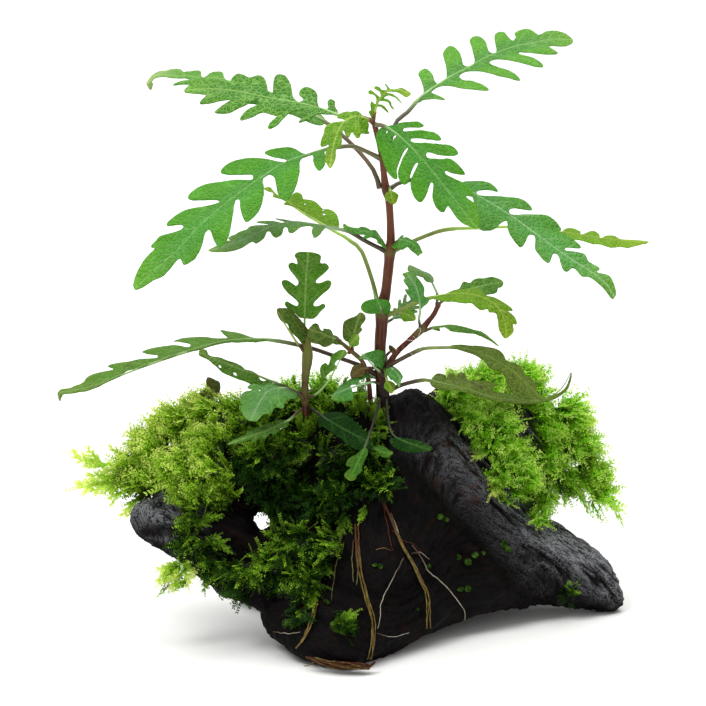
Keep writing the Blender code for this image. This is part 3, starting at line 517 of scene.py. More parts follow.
def outline_field(run, out, lobes, style, length, reach):
    """Negative inside the blade, positive outside: the band on the midrib, the lobes and the tip."""
    share = np.clip(run / length, 0, 1)
    full = reach * reach_at(share, style["foot"], style["peak"], style["end"])
    cut = style["cut"] + (style["cut_at_tip"] - style["cut"]) * np.clip(share / style["lobed"], 0, 1) ** 1.5
    first = min((lobe[0][0] for lobe in lobes), default=0)
    band = np.minimum(full * cut, 0.35 + 0.8 * np.clip(run - 0.6 * first, 0, None))
    start = style["lobed"] if style["lobes"] else 0
    past = (share - start) / (1 - start)
    broad = style["terminal"] * reach
    peak = 0.42 if start == 0 else 0.3
    swell = np.where(past < peak, np.sin(np.clip(past / peak, -1, 1) * math.pi / 2),
                     1 - np.clip((past - peak) / (1 - peak), 0, 1) ** style["tip_power"])
    ripple = style["teeth"] * (np.abs(np.sin(math.pi * (2.6 * past + 0.2))) - 0.6)
    tip = np.where(past > 0, (broad + ripple) * np.clip(swell, 0, 1), 0)
    ended = np.clip((1 - share) / (1 - start), 0, 1) ** 0.5 if start else 0
    width = np.maximum(band * ended, tip) - 1.2 * np.clip(run - length, 0, None)
    field = 0.85 * (np.abs(out) - width)
    for lobe in lobes:
        apart, along = to_lobe(run, out, lobe)
        _, _, foot, end = lobe
        half = foot * (1 - style["neck"] * (1 - along) ** 2) - (foot - end) * along**3
        field = run_into(field, apart - half, style["sinus"])
    return field


def add_unevenness(field, run, out, style, at, length, reach, seed):
    """Makes an outline a little wavy, opens its holes and closes it."""
    field = field + EDGE_UNEVENNESS * np.array([
        noise.noise(Vector((a / 2.6, b / 2.6, seed * 2.3))) for a, b in zip(run, out)])
    for right, up, radius in style["holes"]:
        (along, across), = on_blade([(right, up)], at, length, reach)
        field = np.maximum(field, radius - np.hypot(run - along, out - across))
    return field if style["outline"] else np.maximum(field, 0.05 - run)


def cut_out(name, field, runs, outs):
    """A flat mesh of all grid cells inside the outline, its border cut where the field is zero."""
    inside = field < 0
    points, faces, known = [], [], {}

    def corner(i, j):
        if (i, j) not in known:
            known[i, j] = len(points)
            points.append((runs[i], outs[j]))
        return known[i, j]

    def crossing(a, b):
        key = (a, b) if a < b else (b, a)
        if key not in known:
            (i, j), (k, l) = key
            share = field[i, j] / (field[i, j] - field[k, l])
            share = min(max(share, LEAST_CUT), 1 - LEAST_CUT)
            known[key] = len(points)
            points.append((runs[i] + share * (runs[k] - runs[i]), outs[j] + share * (outs[l] - outs[j])))
        return known[key]

    some = inside[:-1, :-1] | inside[1:, :-1] | inside[:-1, 1:] | inside[1:, 1:]
    for i, j in zip(*np.nonzero(some)):
        corners = [(i, j), (i + 1, j), (i + 1, j + 1), (i, j + 1)]
        face = []
        for here, there in zip(corners, corners[1:] + corners[:1]):
            if inside[here]:
                face.append(corner(*here))
            if inside[here] != inside[there]:
                face.append(crossing(here, there))
        faces.append(face)
    mesh = bpy.data.meshes.new(name)
    mesh.from_pydata([(run, out, 0) for run, out in points], [], faces)
    return put(name, mesh), np.array(points)


def bend(run, out, veins, at, style, reach, seed):
    """World places on the bent blade, and how far each is from the nearest side vein."""
    apart = np.full(len(run), 9.0)
    lobe_wide = np.full(len(run), 3.0)
    for vein in veins:
        this, _ = to_lobe(run, out, vein)
        lobe_wide = np.where(this < apart, vein[2], lobe_wide)
        apart = np.minimum(this, apart)
    places, _, sideways, upward = at(run)
    share_out = np.abs(out) / reach
    lift = style["fold"] * np.abs(out) - style["droop"] * np.abs(out) * share_out
    lift -= style["cup"] * np.clip(apart / lobe_wide, 0, 1.5) ** 2 * lobe_wide * np.clip(share_out * 2, 0, 1)
    ripple = np.array([noise.noise(Vector((a / 8, b / 8, seed * 1.7))) for a, b in zip(run, out)])
    lift += style["wave"] * ripple * np.clip(np.abs(out) / 3, 0, 1)
    return places + MM * (out[:, None] * sideways + lift[:, None] * upward), apart


def side_veins(name, shape, veins, at, style, reach, seed):
    """Fine raised veins from the midrib towards the lobe ends, as far as the blade goes."""
    lines = []
    for start, end, _, _ in veins:
        share = np.linspace(0, 1, 8)
        run = start[0] + (end[0] - start[0]) * share
        out = (end[1] - start[1]) * share * (1.12 - 0.12 * share)
        within = shape(run, out) < -0.25
        count = len(share) if within.all() else int(np.argmin(within))
        if count > 2:
            places, _ = bend(run[:count], out[:count], veins, at, style, reach, seed)
            lines.append((places, np.linspace(*VEIN_RADII, count)))
    net = tubes_along(name, lines, 4)
    for key, value in (("rib", 0), ("side", 0), ("along", 0.5), ("painted_light_and_tone", style["painted_light_and_tone"])):
        store(net, key, value)
    smooth(net)
    return net


def flat_blade(name, seed, shape, lobes, style, at, length, reach):
    """The blade cut out of a grid: its flat mesh, and its points as along and across."""
    step = style["grid"]
    if style["outline"]:
        first, longest, widest = -DRAWN_BEFORE, length + DRAWN_PAST, DRAWN_ACROSS * reach
    else:
        first = 0
        longest = max([length] + [lobe[1][0] + lobe[3] for lobe in lobes]) + 2 * step
        widest = max([reach * style["terminal"]] + [abs(lobe[1][1]) + lobe[3] for lobe in lobes]) + 2 * step
    runs = np.arange(first, longest + step, step)
    outs = np.arange(-widest, widest + step, step)
    run, out = (grid.ravel() for grid in np.meshgrid(runs, outs, indexing="ij"))
    field = add_unevenness(shape(run, out), run, out, style, at, length, reach, seed)
    return cut_out(name, field.reshape(len(runs), len(outs)), runs, outs)


def tip_veins(style, lobes, length, reach):
    """Short veins on both sides of the midrib, where the blade has no lobes."""
    start, count = (style["lobed"], 4) if lobes else (0.15, 5)
    return [
        (np.array((along, 0.0)), np.array((along + 0.35 * reach, side * 0.4 * reach)), 2.0, 1.0)
        for along in np.linspace(start, 0.9, count) * length for side in (-1, 1)
    ]


def make_leaf(name, seed, paints, nodes, path, bare, reach, face, **given):
    """A blade cut out of a grid, bent along its path, with a midrib that runs on into the stalk."""
    style = {**STYLE, **given}
    start = blade_start(path, bare)
    length = path_length(path) * (1 - start)
    hint = np.array(looking(face))
    at = midrib_of(path, start, length, hint)
    lobes = lobes_of(lobe_ends(style, at, length, reach, np.random.default_rng(seed)), style, length)
    if style["outline"]:
        ring = smooth_ring(on_blade(style["outline"], at, length, reach))

    def shape(run, out):
        if style["outline"]:
            return field_of_ring(ring, run, out)
        return outline_field(run, out, lobes, style, length, reach)

    blade, flat = flat_blade(name, seed, shape, lobes, style, at, length, reach)
    run, out = flat.T
    veins = lobes + tip_veins(style, lobes, length, reach)
    places, apart = bend(run, out, veins, at, style, reach, seed)
    set_points(blade, places)
    store(blade, "rib", np.abs(out))
    store(blade, "side", apart)
    store(blade, "along", run / length)
    store(blade, "painted_light_and_tone", style["painted_light_and_tone"])
    smooth(blade)
    shell = blade.modifiers.new("thickness", "SOLIDIFY")
    shell.thickness = BLADE_THICKNESS * MM
    shell.offset = 0
    shell.use_even_offset = False
    apply_modifiers(blade)
    rib = make_stalk(name + "_rib", path, start, hint, style["stalk"])
    net = side_veins(name + "_veins", shape, veins, at, style, reach, seed)
    for piece, kind in ((blade, ""), (rib, "_stalk"), (net, "")):
        piece.data.materials.append(paints[style["paint"] + kind])
    finish_piece(join([blade, rib, net], name), nodes)


def make_stalk(name, path, start, hint, stalk):
    """The stalk and the midrib under the blade, as one tapering tube."""
    steps = np.concatenate([np.linspace(-STALK_INTO_STEM / path_length(path), start, 12)[:-1],
                            np.linspace(start, 0.985, 26)])
    centre, heading = follow(path, steps)
    centre[0] -= heading[0] * STALK_INTO_STEM * MM
    lower = unit(np.cross(heading, unit(np.cross(hint, heading))))
    past = np.clip((steps - start) / (1 - start), 0, 1)
    radii = np.where(steps < start, stalk, RIB_SHARE * stalk * (1 - past) ** 0.8 + RIB_END)
    radii[:len(SWOLLEN_FOOT)] *= SWOLLEN_FOOT
    centre -= MM * lower * (0.6 * radii * np.clip(past * 8, 0, 1))[:, None]
    rib = tube_along(name, centre, radii)
    before_blade = (steps - start) / max(start, 1e-6)
    store(rib, "along", np.where(steps < start, before_blade, past)[nearest_step(rib, centre)])
    smooth(rib)
    return rib


# Leaves: path (right, up, away) from the stem to the tip, how many stretches of it are bare stalk, the
# way the upper face looks, how far the blade reaches to each side in mm, and its outline (right, up)
LEAVES = {
    "leaf_left_large": dict(
        path=[(8.2, 172.6, 16), (4, 174.7, 15), (-0.1, 176.2, 14), (-5, 175.9, 12.5), (-9.7, 175, 11),
        (-13.3, 174, 9.5), (-22.3, 171, 5), (-30.7, 165.7, 0.5), (-38.1, 160.5, -4), (-45.7, 154.5, -9),
        (-52.3, 148.5, -13.5), (-58.3, 141.7, -18), (-65.1, 135.7, -22), (-72.7, 128.7, -26)], bare=4,
        face=(-0.1, 0.73, -0.67), reach=21, outline=[(-15.7, 173.5), (-20.3, 175.8), (-26, 175.5),
        (-29.3, 173.8), (-26.7, 172.5), (-22.3, 171.7), (-23.3, 170.7), (-30.3, 171.7), (-36, 171.9),
        (-41.3, 170.5), (-44.3, 168.2), (-41.3, 167), (-34.3, 166.6), (-33.2, 165.8), (-34.3, 164.6),
        (-41, 164.7), (-48.3, 163.5), (-53.3, 161.2), (-55, 158.8), (-52, 158), (-45.7, 158.3), (-45, 157.2),
        (-51, 156), (-57, 154.5), (-62.3, 149.8), (-57, 149.7), (-57.2, 148.2), (-64.3, 145.7),
        (-67.3, 142.5), (-65.8, 141.8), (-68.3, 139.3), (-71.3, 134.7), (-73.3, 129.7), (-72, 128.5),
        (-67, 131.2), (-62.7, 133.3), (-58.3, 138.3), (-57.3, 138), (-56, 136.2), (-52.3, 139.3), (-50, 144),
        (-49, 147.5), (-47.5, 147.8), (-46, 144.3), (-44.3, 143.3), (-41.3, 146.3), (-39.7, 154.3),
        (-39.2, 158), (-37.8, 158), (-37.3, 154), (-35.3, 151), (-31.3, 155), (-29.7, 160.7), (-30, 165.7),
        (-28, 166.8), (-26, 165.3), (-25, 160), (-22.3, 158.2), (-19.3, 162), (-17.7, 167.7), (-17.5, 171.8),
        (-13.7, 173.5), (-13, 170), (-11.3, 168), (-9.3, 170), (-9.8, 174.7)]),
    "leaf_left_top_front": dict(
        path=[(5.8, 184.9, 13.4), (2.5, 186, 13.2), (-1.5, 186.4, 13), (-5.1, 186.7, 13), (-11.1, 189, 14),
        (-19.3, 190.9, 16), (-27.7, 192.3, 18.5), (-35.2, 193.9, 21), (-42.7, 195, 24), (-50.1, 195.3, 27),
        (-56.1, 194.7, 30)], bare=3, face=(0.1, 0.62, -0.77), reach=13, paint="netted", outline=[(-5, 187.2),
        (-5.8, 189), (-6, 190.7), (-7.3, 191.6), (-8.5, 190.7), (-8.2, 188.8), (-10.7, 188.7),
        (-11.7, 190.3), (-12, 193.7), (-13.7, 195.3), (-15.7, 195.9), (-17.5, 195.2), (-18, 193.5),
        (-16.7, 192), (-17.3, 191), (-18.7, 191.2), (-20, 192.7), (-20.8, 196.3), (-22.3, 199.5),
        (-24.7, 200.3), (-26.2, 198.8), (-26.7, 194.3), (-27.3, 193.2), (-28.3, 194.3), (-29, 197.7),
        (-30.7, 199.7), (-32.7, 199.9), (-34.7, 199.2), (-36.3, 200), (-38.3, 200.4), (-40.2, 199),
        (-41.3, 197.5), (-43, 197.8), (-46.7, 198.2), (-52, 197.8), (-55, 196), (-56.3, 194.5),
        (-54.7, 193.8), (-49.7, 193.2), (-49, 192.7), (-51.2, 190.3), (-47.7, 190.5), (-43.7, 191.4),
        (-40.7, 191.4), (-41.3, 190.8), (-44.7, 188.8), (-46.2, 187.7), (-42.3, 187.4), (-37.7, 189),
        (-32, 191.5), (-32.3, 189.8), (-35, 188.5), (-37.8, 185.4), (-34.7, 185.6), (-30.3, 187.2),
        (-26.3, 186.7), (-25.3, 186.5), (-27.7, 184.2), (-28.3, 182.3), (-25.3, 183.5), (-22.7, 186),
        (-19.7, 187.8), (-15.3, 187.7), (-14.7, 186.8), (-18.2, 184), (-15, 184.7), (-11.7, 186.5),
        (-9, 186.8)]),
    "leaf_left_top_rear": dict(
        path=[(8.5, 163.4, 19.3), (7.4, 167.2, 20.3), (4.5, 171.5, 21.5), (0.3, 176.2, 23.5),
        (-3, 179.3, 25), (-8.3, 183.7, 27.5), (-15, 187.5, 31), (-27.7, 194.3, 36), (-42.3, 198.3, 41),
        (-56.1, 199.5, 45), (-64.3, 199.8, 47), (-67.6, 197.8, 47.8), (-67.4, 194.5, 48)], bare=6,
        face=(0, 0.9, -0.42), reach=8.5, paint="faded", outline=[(-9, 184), (-12.3, 188), (-17.7, 190.3),
        (-22.7, 192.7), (-30.3, 195), (-37.7, 196.7), (-41.7, 197.7), (-43, 199.3), (-43.7, 201),
        (-45.3, 201.7), (-47.3, 201.3), (-48.7, 199.7), (-50.3, 199.2), (-50.7, 201.3), (-52, 201.9),
        (-54.3, 201.5), (-56.3, 200.5), (-57.7, 201.7), (-60.3, 201.9), (-63.7, 201.3), (-66.3, 200),
        (-67.7, 198.7), (-68.5, 196.3), (-67.3, 195), (-66.7, 196.7), (-66, 198.7), (-63.3, 199.2),
        (-59.3, 198.7), (-55.7, 198.8), (-54.3, 198.2), (-57.7, 197.7), (-60, 196.8), (-54.3, 197),
        (-49.3, 196), (-42.7, 194), (-34.3, 191.3), (-24.3, 188.7), (-17.7, 186), (-11.7, 183.7)]),
    "leaf_right_top": dict(
        path=[(11.4, 173.2, 17), (12.4, 177.5, 18.3), (14.3, 184.1, 20), (18.3, 187.7, 22),
        (22.5, 192.4, 24), (30, 198, 27), (37.5, 202.1, 30), (45, 206.1, 33), (52.5, 209, 36),
        (60, 210.7, 38.5), (67.5, 211.9, 41), (73.3, 211.5, 43)], bare=4, face=(-0.13, 0.73, -0.67),
        reach=16, paint="pale", outline=[(21.7, 191.3), (23.5, 193.7), (23.3, 196.7), (22, 200.3),
        (24, 201.9), (26.3, 200.3), (27.2, 197.7), (29.2, 196.8), (31.2, 198.8), (30.7, 203.7), (30, 207),
        (32.5, 209.8), (35.7, 207.2), (36.8, 203.2), (39.3, 202.8), (40.5, 204.7), (39.7, 208), (39, 211.7),
        (41.3, 212.9), (44.2, 211.2), (45.3, 207.8), (47, 207), (47.8, 208.3), (47.3, 213), (49.7, 214.1),
        (51.8, 212.7), (53.3, 211.2), (54.2, 212.3), (54, 213.8), (58.3, 215.1), (61, 213.5), (62.2, 213),
        (64.7, 214.2), (69, 214), (73.3, 211.7), (72.3, 210), (70, 209.3), (65.3, 209.3), (68.4, 207.2),
        (64, 206.9), (58.3, 207.5), (55.8, 207.8), (55.8, 206.8), (60.7, 205.2), (63.3, 203), (59, 203.1),
        (53, 204.5), (48, 205.1), (45.7, 204.5), (46.7, 203.3), (51.7, 201.8), (55.8, 198.8), (50.7, 199.2),
        (42.3, 200.9), (37.7, 201.1), (35.3, 199.5), (36.7, 198.2), (40.7, 197.5), (45.3, 195), (39, 195),
        (31.3, 196.2), (28.3, 195.8), (26.2, 194.2), (28, 193), (30.8, 191.4), (27, 191.8), (23.7, 191.8),
        (22, 190.7)]),
    "leaf_front": dict(
        path=[(8.3, 183.3, 12.4), (9.6, 183.2, 10.8), (11.6, 182.3, 8.8), (15.3, 179.8, 5),
        (19.5, 175.9, 0.5), (24, 171, -4.5), (28.7, 165.2, -9.5), (33.4, 159.2, -14.5), (37.6, 153.8, -19),
        (41.4, 149.2, -23)], bare=2, face=(-0.55, 0.31, -0.77), reach=15.5, grid=0.4,
        holes=((13.3, 178.7, 0.6), (14, 179.5, 0.5), (12.8, 177.7, 0.4), (11.2, 180.9, 0.5)),
        outline=[(14.3, 183.3), (15.7, 184.2), (21, 184.4), (23.8, 183.1), (22.3, 182.2), (17.3, 182.4),
        (17.2, 181.2), (22.3, 181.3), (27, 181), (29.7, 178.5), (27, 178.2), (20, 178.8), (19.8, 177.5),
        (27, 177.1), (32.3, 176.5), (35, 174.3), (34, 173), (29.2, 173.1), (25, 174), (25, 172.4),
        (29.2, 171.9), (32.3, 172), (35.7, 169.7), (37.2, 167), (34, 167), (31, 167.7), (31.3, 166.5),
        (34.3, 165.2), (37.7, 163.5), (40.5, 160), (38, 159.5), (38.3, 158.8), (41.3, 156.3), (42.3, 151.7),
        (41.7, 149.2), (39.3, 149.3), (36, 151), (34, 153), (32, 156.2), (31, 155.5), (30, 154.2),
        (28.3, 155.3), (26.5, 159), (26.8, 163), (26, 164.2), (25, 162.8), (24.2, 159.7), (22.3, 157.7),
        (20.3, 159.3), (19.3, 162.7), (19.8, 165.7), (21.7, 170), (21, 170.3), (19.3, 167), (18.7, 164.7),
        (17, 163.6), (15.5, 164.7), (15.2, 168), (16.7, 171.7), (18.5, 175.2), (17.8, 175.5), (16.2, 172.7),
        (14.7, 168.3), (14.7, 165.5), (12.7, 166), (10.3, 170), (8.3, 175.7), (7.5, 179.7), (9, 182),
        (11.7, 183)]),
    "leaf_right_large": dict(
        path=[(12.9, 162.4, 19.6), (16.2, 164.2, 21.5), (25.7, 165.9, 23), (34, 163.8, 21.5),
        (40, 160.7, 18.5), (51.7, 153.6, 12), (59.5, 148, 7.5), (66, 143.2, 3.5), (73, 138.3, -0.5),
        (80, 133.8, -4), (84.5, 130, -6.5), (87.2, 125.6, -8)], bare=2, face=(0.06, 0.7, -0.71), reach=14,
        paint="bluish", outline=[(36.3, 163.7), (39, 164.2), (45, 164), (48.4, 161.8), (45.7, 161.5),
        (42, 161.3), (41.3, 160.5), (43, 159.7), (48, 159.3), (55, 158.8), (58, 157.5), (59.7, 155.5),
        (57, 155.1), (52.7, 155.2), (52.2, 154), (53.7, 153.2), (60.7, 153.4), (65.7, 152.7), (69.6, 149.6),
        (68.3, 148.3), (69.7, 147.5), (74, 144.8), (76, 143.2), (75.3, 142.2), (71.3, 142.3), (70.7, 141.3),
        (74.3, 140.7), (77.2, 140), (78.7, 137.7), (82.3, 135.3), (81.3, 134.2), (85.3, 132.7),
        (87.3, 129.3), (87.5, 126.2), (86.5, 125.3), (84.3, 127.8), (82.3, 129.7), (79.3, 132),
        (77.7, 132.7), (76.3, 132.5), (74.8, 134.5), (73.7, 135.5), (72.7, 135.3), (71.3, 134.3),
        (69.7, 135.5), (68.5, 139.2), (67.7, 140.3), (66.8, 140.2), (66, 138.5), (65, 137.4), (62.7, 139),
        (60.8, 142), (60.8, 145), (60, 146.5), (58.7, 146.3), (57.8, 144.7), (56, 142.8), (53.7, 144.7),
        (51.7, 147.7), (51.5, 150.3), (51, 151.3), (49, 150.3), (48, 149.5), (45.7, 148.3), (42.3, 148.7),
        (41, 153.3), (40.3, 157.3), (39.7, 159.3), (37.7, 160)]),
    "leaf_left_middle": dict(
        path=[(10.1, 141.6, 24.2), (4, 144.7, 21), (-1, 147.7, 19), (-4.3, 148.5, 18), (-11.1, 150, 16),
        (-20.1, 151.1, 13), (-27.7, 149.3, 10), (-35.1, 145.5, 8), (-47.9, 141.3, 5)], bare=3,
        face=(0.25, 0.88, -0.42), reach=10, paint="greyish", outline=[(-9.3, 149.5), (-11.7, 150.2),
        (-15, 150.2), (-17.7, 150.8), (-21.7, 151.5), (-26.5, 152), (-22.7, 151), (-20.3, 150.5),
        (-23, 150.5), (-27.7, 151.2), (-32.5, 150.9), (-28.3, 150.2), (-25.7, 149.7), (-30.3, 149.7),
        (-34.3, 149.3), (-35.8, 148.3), (-38.3, 147.3), (-41.7, 145.3), (-40.3, 144.7), (-43, 144.2),
        (-45.7, 142.7), (-48.3, 141.5), (-45.3, 140.7), (-41, 141.3), (-37.2, 142.3), (-33.8, 144.4),
        (-32.3, 143.8), (-29.7, 145.7), (-28.7, 147.5), (-27.7, 147.8), (-27, 146.3), (-25.7, 145.7),
        (-23.8, 146.7), (-23, 148.8), (-21.8, 149), (-21.5, 147.5), (-20, 147.2), (-18.3, 148.5),
        (-16.3, 149.6), (-13.5, 149.5), (-13.7, 147.7), (-12.8, 146.1), (-11, 146.8), (-9.5, 148.7)]),
    "leaf_left_rear": dict(
        path=[(8, 122, 31), (7.3, 128.3, 32.5), (3, 141, 38), (-0.5, 144.3, 40.3), (-2.7, 146, 41),
        (-9.3, 149.9, 44), (-16.7, 154.2, 47), (-23, 158.6, 50), (-29.1, 162.3, 53)], bare=4,
        face=(0.35, 0.62, -0.7), reach=10.5, holes=((-16, 156.8, 0.5), (-10, 154.7, 0.5),
        (-9.7, 153.5, 0.6)), paint="sunlit", outline=[(-5, 148.7), (-4.7, 151), (-5.7, 153.7), (-7.7, 155),
        (-9.8, 155.3), (-11, 156.2), (-12.7, 157.8), (-14.7, 158.6), (-16.5, 158.4), (-17, 159.7),
        (-18.3, 160.7), (-19.7, 160.5), (-21, 159.3), (-23, 158.7), (-25.7, 160.3), (-27.7, 162.5),
        (-29.7, 162.1), (-28.3, 161.2), (-26.7, 160.8), (-26.7, 159.3), (-25, 158.8), (-22.3, 158),
        (-23, 156.8), (-20.7, 156.2), (-17.7, 155), (-15, 153.2), (-11.7, 151.5), (-7.7, 149.2)]),
    "leaf_right_middle": dict(
        path=[(14.5, 141.8, 24.6), (21, 145, 27), (29, 148, 30), (35, 148.8, 32), (40, 149.1, 33.5),
        (50, 149.6, 37), (62, 149, 41), (74, 147, 44.5), (86, 145.2, 47.5), (98.2, 144.1, 50)], bare=3,
        face=(0, 0.92, -0.39), reach=10, grid=0.35, paint="sunlit", outline=[(66.3, 147.3), (69, 147.2),
        (70.7, 148.5), (73, 149), (75.7, 148), (76, 146.7), (78.3, 147.5), (80.3, 147.7), (82, 146.5),
        (82.5, 145.5), (84.7, 146.1), (87.3, 146), (89.3, 145.1), (93.7, 144.8), (98.6, 144.3),
        (95.7, 143.1), (91.7, 142.7), (88.3, 143), (86, 142.7), (82.3, 143.7), (78.3, 144.2), (74.3, 145.2),
        (71, 145.7), (67.7, 146)]),
    "leaf_right_drooping": dict(
        path=[(12.4, 120.3, 28.6), (17.3, 122.3, 26), (22.7, 124.7, 23.4), (26.3, 125.8, 20.5),
        (30.5, 126.8, 16.5), (36, 127.1, 13), (41, 126.5, 10), (45.7, 124.5, 7.5), (48.9, 121.6, 5.5),
        (50.6, 117.5, 4), (51.2, 112.1, 2.5)], bare=3, face=(0.2, 0.72, -0.66), reach=8.5, paint="sunlit",
        outline=[(26.3, 125.8), (29.3, 126.5), (31.3, 127.2), (34, 128.1), (37.3, 128.3), (41.7, 128.5),
        (43.7, 127.3), (45, 126.3), (47.3, 125.8), (49.3, 124.5), (51.7, 123), (53.4, 121.5), (51.3, 121.2),
        (53, 120.2), (54.3, 118.3), (54.7, 116.8), (53.2, 116.8), (53.5, 114.7), (52.5, 113), (51, 111.9),
        (49.3, 113.7), (48.5, 116), (48, 119), (47.5, 120.5), (45.3, 120.8), (44.8, 122), (43, 121.9),
        (41, 122.7), (39.3, 123.8), (35.7, 124), (32.3, 124.7), (27.7, 125.3)]),
    "leaf_right_dark": dict(
        path=[(28.9, 123.9, 25.5), (31, 125.4, 27), (33.5, 126.8, 28.6), (37, 128, 30), (42, 129.3, 31.8),
        (50, 131, 34)], bare=2, face=(-0.1, 0.62, -0.78), reach=6, paint="deep", outline=[(31.3, 126.3),
        (33, 128), (35.3, 128.5), (36, 129.7), (37, 130.9), (39, 130.5), (40, 131.7), (41.7, 132.2),
        (45.7, 132.6), (48.3, 132), (50.2, 130.7), (49.3, 129.3), (48.3, 128.8), (48.2, 127.7), (46.3, 127),
        (44, 126.6), (40.7, 126.8), (36.3, 126.3)]),
    "leaf_shoot_glaucous": dict(
        path=[(22.3, 116.5, 24.4), (22, 118.6, 21.6), (22.4, 122, 18.6), (21.8, 126.5, 16.4),
        (20.3, 130.6, 15.4), (17.3, 134.3, 15)], bare=1, face=(0, 0.3, -0.95), reach=6.3, paint="bluish",
        outline=[(22.3, 124), (20.3, 124.5), (18.7, 126), (17.2, 128.5), (18.5, 128.7), (17.3, 130.3),
        (16.6, 131.8), (17.2, 132.3), (16.3, 133.8), (18, 134.3), (20, 133.8), (21.7, 132.3), (23.3, 130),
        (23.8, 128.7), (23.7, 126.3), (25.3, 125.5), (24.7, 124), (23.3, 122.7), (22.5, 121.3)]),
    "leaf_shoot_grey": dict(
        path=[(28, 124.4, 24.9), (28, 127.3, 27), (26.7, 130.5, 28.5), (25, 133.2, 29.6), (18.6, 136.3, 31)],
        bare=1, face=(0.5, 0.8, -0.3), reach=4.5, paint="greyish", outline=[(26.7, 130.7), (24.3, 131.5),
        (22.3, 133.2), (19.3, 134.8), (18.2, 135.8), (18.8, 136.5), (21.7, 135.5), (24.7, 134.2),
        (26.2, 133), (26.7, 131.3)]),
    "leaf_arched_narrow": dict(
        path=[(24.7, 115, 25.6), (27.2, 115.9, 23), (31.3, 116.5, 21), (36, 116.2, 19), (40.9, 114.7, 17.5),
        (45.7, 112.1, 16), (48.7, 109.3, 15)], bare=1, face=(0.2, 0.93, -0.3), reach=3.6, paint="deep",
        outline=[(26.3, 115.4), (29, 116), (31, 116.7), (34, 116.6), (37, 115.8), (40, 115), (43, 114.2),
        (45.7, 112.3), (48.7, 109.5), (47, 110.5), (44.3, 112.2), (41.3, 113.7), (38.3, 114.2),
        (35.7, 114.7), (32.3, 115.3), (29, 115.3)]),
    "leaf_over_moss": dict(
        path=[(12, 103.1, 30.9), (14.2, 104.3, 29), (18.7, 106.7, 27.4), (23.3, 108.7, 26), (28, 109.3, 25),
        (33.9, 109.3, 24), (39, 108.3, 24), (45.3, 106, 24), (51.7, 102.2, 24.5), (57.3, 97.5, 25),
        (61.7, 93.3, 26)], bare=3, face=(0.2, 0.82, -0.53), reach=9.5, paint="olive", outline=[(32.3, 109.5),
        (39, 109.8), (44.3, 109.4), (48.7, 108.2), (50.8, 106.2), (51.3, 104.5), (53.7, 103.8), (56, 102.3),
        (57.2, 99.8), (59, 99.2), (60.8, 96.3), (61.3, 94), (64, 92), (60, 91.8), (56, 93), (52.3, 95.7),
        (50.3, 99.7), (48.7, 101.2), (45.7, 102.2), (43.7, 104.5), (39.7, 107), (35.7, 108.3)]),
    "leaf_tip_up": dict(
        path=[(13.2, 95.3, 35.2), (17.3, 97, 34.5), (24.2, 98.3, 34), (30.5, 97, 33), (37.7, 95.3, 32),
        (45.3, 92.8, 31.5), (51.7, 91.7, 31), (58.2, 91.1, 31), (64.6, 92.5, 31.5), (69.2, 95.2, 32),
        (72.9, 101.3, 33)], bare=2, face=(0.05, 0.88, -0.47), reach=8, paint="olive", outline=[(25.7, 97),
        (28, 100.3), (30.7, 99.7), (31, 98.3), (32, 100.3), (33.7, 100.8), (34.3, 98.3), (35.3, 101.2),
        (37.3, 101.7), (38.3, 99.3), (41.7, 99), (46.3, 101.3), (49, 100), (48, 97.3), (46.3, 95),
        (50.7, 93.7), (57.3, 92.7), (64, 92.2), (69, 94), (71.3, 96.3), (72.8, 102), (72.3, 96.7),
        (69, 92.7), (64, 90.7), (57.3, 90.3), (50.7, 90.7), (45, 92), (39, 93.8), (32.3, 95), (27.7, 95.3)]),
    "leaf_base_front": dict(
        path=[(9.4, 100.2, 31.4), (8.6, 101.4, 28.5), (7.3, 102.6, 26.8), (5.4, 104.6, 25.6),
        (2.6, 107.4, 25)], bare=1, face=(0, 0.3, -0.95), reach=4.4, paint="bluish", outline=[(11.7, 101),
        (9.7, 101.7), (7.7, 103), (5.7, 104.7), (2, 105.5), (3.3, 106.7), (5.7, 107.8), (9, 108.5),
        (10.7, 107.7), (11.7, 106), (12.3, 103.7), (12.3, 101.7)]),
    "leaf_base_left": dict(
        path=[(8.2, 97.3, 32.4), (6.4, 97.6, 29), (3, 97, 26.5), (-2, 95.2, 25), (-7.7, 93, 24.4)], bare=1,
        face=(0, 0.6, -0.8), reach=4.6, paint="bluish", outline=[(11.7, 101.3), (8.3, 101.7), (4.7, 101.3),
        (1.7, 100.3), (-1, 98.8), (-3.3, 97), (-5.7, 94.7), (-7.3, 92), (-5, 91.3), (-2, 91.7), (0.3, 92),
        (-0.3, 94.7), (-0.7, 96.7), (1.7, 96.8), (2.3, 98.3), (5, 99), (9, 99.7), (11.7, 99.7)]),
    "leaf_base_right": dict(
        path=[(11, 102.6, 31.5), (13, 102, 29), (14.7, 100.3, 27), (15.7, 98.7, 26), (15.3, 96.3, 25.5)],
        bare=1, face=(0.2, 0.5, -0.84), reach=3.8, paint="bluish", outline=[(11.3, 103), (12.7, 103),
        (14, 102.3), (15.7, 101), (16.6, 99.5), (16.2, 98.3), (16, 97), (15.3, 95.7), (14.7, 97),
        (13.3, 98.3), (12, 99.3), (11, 101)]),
    "leaf_oak_upright": dict(
        path=[(-15.5, 112.2, 25.3), (-16.1, 114.5, 24.9), (-16.1, 119.7, 24), (-15.9, 126, 22.8),
        (-15.6, 133, 21.4), (-14.9, 140.8, 20)], bare=1, face=(0, 0.25, -0.97), reach=11.4, paint="deep",
        outline=[(-17.7, 119), (-19, 120.2), (-21.3, 121.8), (-22.9, 123.5), (-22, 124.6), (-20.3, 123.7),
        (-18.7, 122.8), (-18.1, 123.5), (-18.7, 124.7), (-21, 126.8), (-23.2, 129.2), (-23.8, 131.2),
